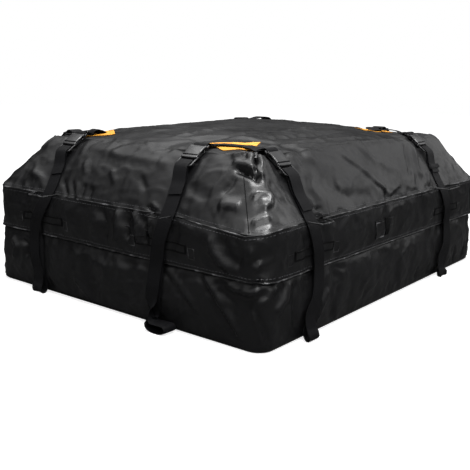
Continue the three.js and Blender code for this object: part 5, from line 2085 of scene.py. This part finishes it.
@dataclass(frozen=True)
class WovenWebbing:
    """Polyester webbing, woven: matt, with ribs that run along it and a fine zigzag between them."""

    thread: str = "#050506"
    lit: str = "#131315"
    rib_mm: float = 3.2
    pick_mm: float = 2.6
    zigzag: float = 1.6
    pick_share: float = 0.5

    def material(self) -> bpy.types.Material:
        """Makes the material.

        Returns:
            The finish of the straps.
        """
        nodes = Nodes(bpy.data.materials.new("woven_webbing"))
        across, along = nodes.add("SeparateXYZ", {0: nodes.place["UV"]}).outputs[:2]
        # Ribs stand 1.6 mm apart in real webbing, and are drawn twice as wide so that they show
        ribs = nodes.math("SINE", nodes.math("MULTIPLY", across, 2 * math.pi / (self.rib_mm * MM)))
        picks = nodes.math("MULTIPLY", along, 2 * math.pi / (self.pick_mm * MM))
        picks = nodes.math("SINE", nodes.math("MULTIPLY_ADD", ribs, self.zigzag, picks))
        height = nodes.math("MULTIPLY_ADD", picks, self.pick_share, ribs)
        tall = 1 + self.pick_share
        share = nodes.spread(height, (-tall, tall))
        return nodes.coat(nodes.tones(share, self.thread, self.lit), 0.6, 0.1, nodes.bump(share, 0.7, 0.35))


@dataclass(frozen=True)
class MouldedAcetal:
    """Acetal, injection moulded: black and glossy, with a faint spark-eroded grain."""

    colour: str = "#0b0b0c"
    scuffed: str = "#19191b"
    scuff_size: float = 0.014
    grain_mm: float = 0.9
    rough: tuple[float, float] = (0.24, 0.4)

    def material(self) -> bpy.types.Material:
        """Makes the material.

        Returns:
            The finish of the buckles.
        """
        nodes = Nodes(bpy.data.materials.new("moulded_acetal"))
        scuffs = nodes.noise(self.scuff_size, 5.0)
        relief = nodes.bump(nodes.noise(self.grain_mm * MM, 2.0), 0.2, 0.08)
        return nodes.coat(nodes.tones(scuffs, self.colour, self.scuffed),
                          nodes.spread(scuffs, (0.35, 0.7), self.rough), 0.5, relief, IOR=1.48)


@dataclass(frozen=True)
class OrangeCloth:
    """Coated polyester plain weave, dyed orange: bright, slightly satin, rubbed paler in places."""

    deep: str = "#e08f22"
    bright: str = "#f6b548"
    patch_size: float = 0.025
    thread_mm: float = 1.8

    def material(self) -> bpy.types.Material:
        """Makes the material.

        Returns:
            The finish of the corner patches.
        """
        nodes = Nodes(bpy.data.materials.new("orange_coated_cloth"))
        tone = nodes.tones(nodes.noise(self.patch_size, 4.0), self.deep, self.bright)
        weave = nodes.add("TexChecker", {"Scale": 1 / (self.thread_mm * MM), "Vector": nodes.place["UV"]})
        return nodes.coat(tone, 0.5, 0.4, nodes.bump(weave.outputs["Fac"], 0.4, 0.15))


@dataclass(frozen=True)
class ZipNylon:
    """Nylon coil and knitted tape of a zip: matt, ribbed across its run."""

    colour: str = "#121213"
    lit: str = "#26262a"
    rib_mm: float = 2.0

    def material(self) -> bpy.types.Material:
        """Makes the material.

        Returns:
            The finish of the zip.
        """
        nodes = Nodes(bpy.data.materials.new("zip_nylon"))
        ribs = nodes.waves("DIAGONAL", self.rib_mm, "Object")
        return nodes.coat(nodes.tones(ribs, self.colour, self.lit), 0.6, 0.35, nodes.bump(ribs, 0.5, 0.3))


@dataclass(frozen=True)
class PlainFinish:
    """Finish of two close tones with a fine grain, mottled over a size in metres."""

    name: str
    dark: str
    light: str
    rough: float
    mottle: float
    level: float
    spread: tuple[float, float] = (0.0, 1.0)

    def material(self) -> bpy.types.Material:
        """Makes the material.

        Returns:
            The finish of a sewn trim.
        """
        nodes = Nodes(bpy.data.materials.new(self.name))
        mottle = nodes.noise(self.mottle, 3.0)
        tone = nodes.tones(nodes.spread(mottle, self.spread), self.dark, self.light)
        return nodes.coat(tone, self.rough, self.level, nodes.bump(mottle, 0.4, 0.2))


# Folded edge of PVC tarpaulin: dark, with pale patches that are a painted highlight where the welts, the
# flap's hem and the stitched squares catch the light
EDGE_WITH_PAINTED_GLINT = PlainFinish("edge_with_painted_highlight", "#161617", "#666668", 0.3, 0.03, 0.4, (0.5, 0.68))
# Bonded polyester thread: black, drawn dark grey so that the stitches show a painted highlight; slightly
# glossy
THREAD_WITH_PAINTED_GLINT = PlainFinish("thread_with_painted_highlight", "#2b2b2d", "#4a4a4d", 0.45, 0.004, 0.3)
# Bar-tacked black tape: dense polyester that swallows the light; the dart seams also wear it, as a painted
# shade along their grooves
BLACK_TAPE_AND_SEAM_SHADE = PlainFinish("black_tape_and_painted_seam_shade", "#030303", "#0a0a0b", 0.7, 0.003, 0.1)


@dataclass
class Buckles:
    """Side-release buckles: the solids' own moulded forms with their edges rounded."""

    edge_round: float = 0.6
    same_point: float = 0.02
    flat_degrees: float = 1.5
    edge_degrees: float = 30.0

    def build(self, finish: MouldedAcetal) -> None:
        """Dresses the sockets and clips.

        Args:
            finish: the plastic's finish.
        """
        material = finish.material()
        for strap in STRAPS:
            for part, body in (("buckle_socket", BODY), ("buckle_clip", f"{strap.name}_clip")):
                node = f"{strap.name}_{part}"
                dress(self.rounded(node), material, "buckle_acetal", node, body=body)

    def rounded(self, node: str) -> bpy.types.Object:
        """Copies a solid, joins its flat faces and rounds its edges.

        Args:
            node: the solid's name.

        Returns:
            The rounded copy, without a finish.
        """
        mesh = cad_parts[node].data.copy()
        mesh.materials.clear()
        piece = bpy.data.objects.new(f"{node}_moulding", mesh)
        bpy.context.scene.collection.objects.link(piece)
        pick(piece)
        bpy.ops.object.mode_set(mode="EDIT")
        bpy.ops.mesh.select_all(action="SELECT")
        bpy.ops.mesh.remove_doubles(threshold=self.same_point * MM)
        bpy.ops.mesh.dissolve_limited(angle_limit=math.radians(self.flat_degrees))
        bpy.ops.object.mode_set(mode="OBJECT")
        bevel = piece.modifiers.new("moulded_edge", "BEVEL")
        bevel.width = self.edge_round * MM
        bevel.segments = 2
        bevel.limit_method = "ANGLE"
        bevel.angle_limit = math.radians(self.edge_degrees)
        bevel.use_clamp_overlap = True
        apply_all(piece)
        shade_soft(piece, 40)
        return piece


@dataclass
class CornerPatches:
    """Orange patches under the turns of the corner webbings, laid on the top and hemmed."""

    form: BagForm
    surface: BagSurface
    size: WebbingSize
    far_width: float = 118.0
    near_width: float = 62.0
    inward: float = 40.0
    outward: float = 45.0
    turn: float = 41.0
    steps: int = 16
    lift: float = 0.8
    thick: float = 1.2
    pucker: float = 0.9
    hem: float = 1.1

    def build(self, finish: OrangeCloth) -> None:
        """Makes the four patches.

        Args:
            finish: the orange cloth's finish.
        """
        material = finish.material()
        for name, x, y, _, _ in PATCHES:
            dress(self.patch(name, x, y), material, "orange_cloth", f"{name}_corner_patch")

    def patch(self, name: str, x: float, y: float) -> bpy.types.Object:
        """One patch, its long edge towards the middle and its hem a little raised.

        Args:
            name: the corner's name.
            x: where the long side's buckle stands.
            y: where the short side's buckle stands.

        Returns:
            The patch.
        """
        apex = self.size.apex(self.form, x, y)
        turn = math.radians(self.turn)
        out = np.array([math.copysign(math.cos(turn), x), math.copysign(math.sin(turn), y)])
        across = np.array([-out[1], out[0]])
        points, uv = [], []
        for i in range(self.steps + 1):
            for k in range(self.steps + 1):
                share, side = i / self.steps, k / self.steps - 0.5
                run = -self.inward + (self.inward + self.outward) * share
                wide = (self.far_width + (self.near_width - self.far_width) * share) * side
                ground, normal = self.surface.top_at(*(apex + out * run + across * wide))
                pucker = self.pucker * math.sin(9 * side + 2 * share) * math.sin(math.pi * share)
                hem = self.hem * float(1 - smooth(share, 0.02, 0.14))
                points.append(tuple(ground + normal * (self.lift + self.thick + max(0.0, pucker) + hem)))
                uv.append((run, wide))
        count = self.steps + 1
        corners = [i * count + k for i in range(self.steps) for k in range(self.steps)]
        faces = [[a, a + count, a + count + 1, a + 1] for a in corners]
        piece = make_piece(f"{name}_orange_patch", np.array(points), faces, np.array(uv))
        thicken(piece, self.thick, 50)
        return piece


@dataclass
class Studio:
    """Plain pale floor, white surroundings and soft lamps."""

    # Name, place, aim, size and power, in metres and watts
    LAMPS = (
        ("overhead_softbox", (0.1, 0.5, 2.5), (0, 0, 0.3), 2.4, 44),
        ("corner_softbox", (-0.6, -0.8, 2.4), (-0.5, -0.4, 0.3), 0.8, 52),
        ("side_softbox", (3.0, -0.9, 1.8), (0.2, -0.2, 0.3), 2.0, 10),
        ("near_softbox", (-1.9, -2.5, 1.9), (-0.2, -0.2, 0.25), 1.3, 34),
        ("right_softbox", (2.2, -1.9, 1.5), (0.2, 0, 0.2), 1.4, 12),
        ("left_softbox", (-2.8, 1.2, 1.6), (-0.3, 0, 0.2), 1.5, 6),
    )

    floor_half: float = 9.0
    paper: str = "#c8c8c8"
    # Painted shade: the paper's tone in reflections
    reflected_paper_shade: str = "#606060"
    white: str = "#ffffff"
    fill: float = 0.22

    def build(self) -> None:
        """Makes the floor, the world and the lamps."""
        self.floor()
        self.world()
        for name, spot, aim, wide, power in self.LAMPS:
            data = bpy.data.lights.new(name, "AREA")
            data.shape = "SQUARE"
            data.size = wide
            data.energy = power
            lamp = bpy.data.objects.new(name, data)
            lamp.location = spot
            lamp.rotation_euler = (Vector(aim) - Vector(spot)).to_track_quat("-Z", "Y").to_euler()
            bpy.context.scene.collection.objects.link(lamp)
        bpy.context.scene.view_settings.view_transform = "Standard"

    def floor(self) -> None:
        """Pale floor that keeps the bag's shadow and otherwise shows white."""
        deselect()
        bpy.ops.mesh.primitive_plane_add(size=2 * self.floor_half, location=(0, 0, 0))
        floor = bpy.context.object
        floor.name = "studio_floor"
        nodes = Nodes(bpy.data.materials.new("studio_paper"))
        ray = nodes.add("LightPath").outputs
        seen = nodes.math("MAXIMUM", ray["Is Camera Ray"], ray["Is Transmission Ray"])
        # In reflections the paper is drawn darker, a painted shade that keeps its glare out of the walls
        tone = nodes.tones(ray["Is Glossy Ray"], self.paper, self.reflected_paper_shade)
        paper = nodes.add("BsdfDiffuse", {"Color": tone})
        # The paper brightens away from the bag, so that the floor meets the white surroundings unseen
        away = nodes.add("VectorMath", {"operation": "LENGTH", 0: nodes.place["Object"]}).outputs["Value"]
        glow = nodes.spread(away, (0.9, 2.4), (0.74, 1.0))
        shine = nodes.add("Emission", {"Color": srgb(self.white), "Strength": glow})
        both = nodes.add("AddShader", {0: paper.outputs[0], 1: shine.outputs[0]})
        mix = nodes.shader_mix(seen, paper, both)
        nodes.add("OutputMaterial", {"Surface": mix.outputs[0]})
        floor.data.materials.append(nodes.owner)

    def world(self) -> None:
        """White to the camera, brighter with height in reflections, and a soft grey as light."""
        world = bpy.data.worlds.new("studio_world")
        bpy.context.scene.world = world
        nodes = Nodes(world)
        ray = nodes.add("LightPath").outputs
        seen = nodes.math("MAXIMUM", ray["Is Camera Ray"], ray["Is Transmission Ray"])
        height = nodes.add("SeparateXYZ", {0: nodes.place["Generated"]}).outputs[2]
        rise = nodes.spread(height, (0.4, 0.76), (0.02, 1.35))
        gloss, light, white = (nodes.add("Background", {"Color": srgb(self.white), "Strength": power})
                               for power in (rise, self.fill, 1.0))
        mix = nodes.shader_mix(seen, nodes.shader_mix(ray["Is Glossy Ray"], light, gloss), white)
        nodes.add("OutputWorld", {"Surface": mix.outputs[0]})


def dress_solids() -> None:
    """Gives the solids that stay their finish."""
    webbing = WovenWebbing().material()
    nylon = ZipNylon().material()
    tarpaulin = Tarpaulin().material()
    for name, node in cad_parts.items():
        if name.startswith("zip_pull") or name.endswith("band_patch"):
            finish = webbing
        elif name.startswith("zip") or name.endswith("zip_tape"):
            finish = nylon
        else:
            finish = tarpaulin
        node.data.materials.clear()
        node.data.materials.append(finish)


def main() -> None:
    """Builds the bag's looks in order."""
    logging.basicConfig(level=logging.INFO, format="%(name)s %(relativeCreated)d %(message)s")
    form = BagForm()
    camera = PhotoCamera()
    camera.build()
    Studio().build()
    dress_solids()
    skins = BagSkins(form, camera)
    skins.build()
    LOG.info("skins shaped")
    surface = BagSurface([cloth.piece for cloth in skins.cloths if cloth.cap])
    webbings = Webbings(form, surface)
    webbings.build(WovenWebbing())
    CornerPatches(form, surface, webbings.size).build(OrangeCloth())
    Buckles().build(MouldedAcetal())
    SewnTrims(form, surface, camera).build()
    StrapFittings(form, webbings).build()
    skins.finish(Tarpaulin())


if __name__ == "__main__":
    main()
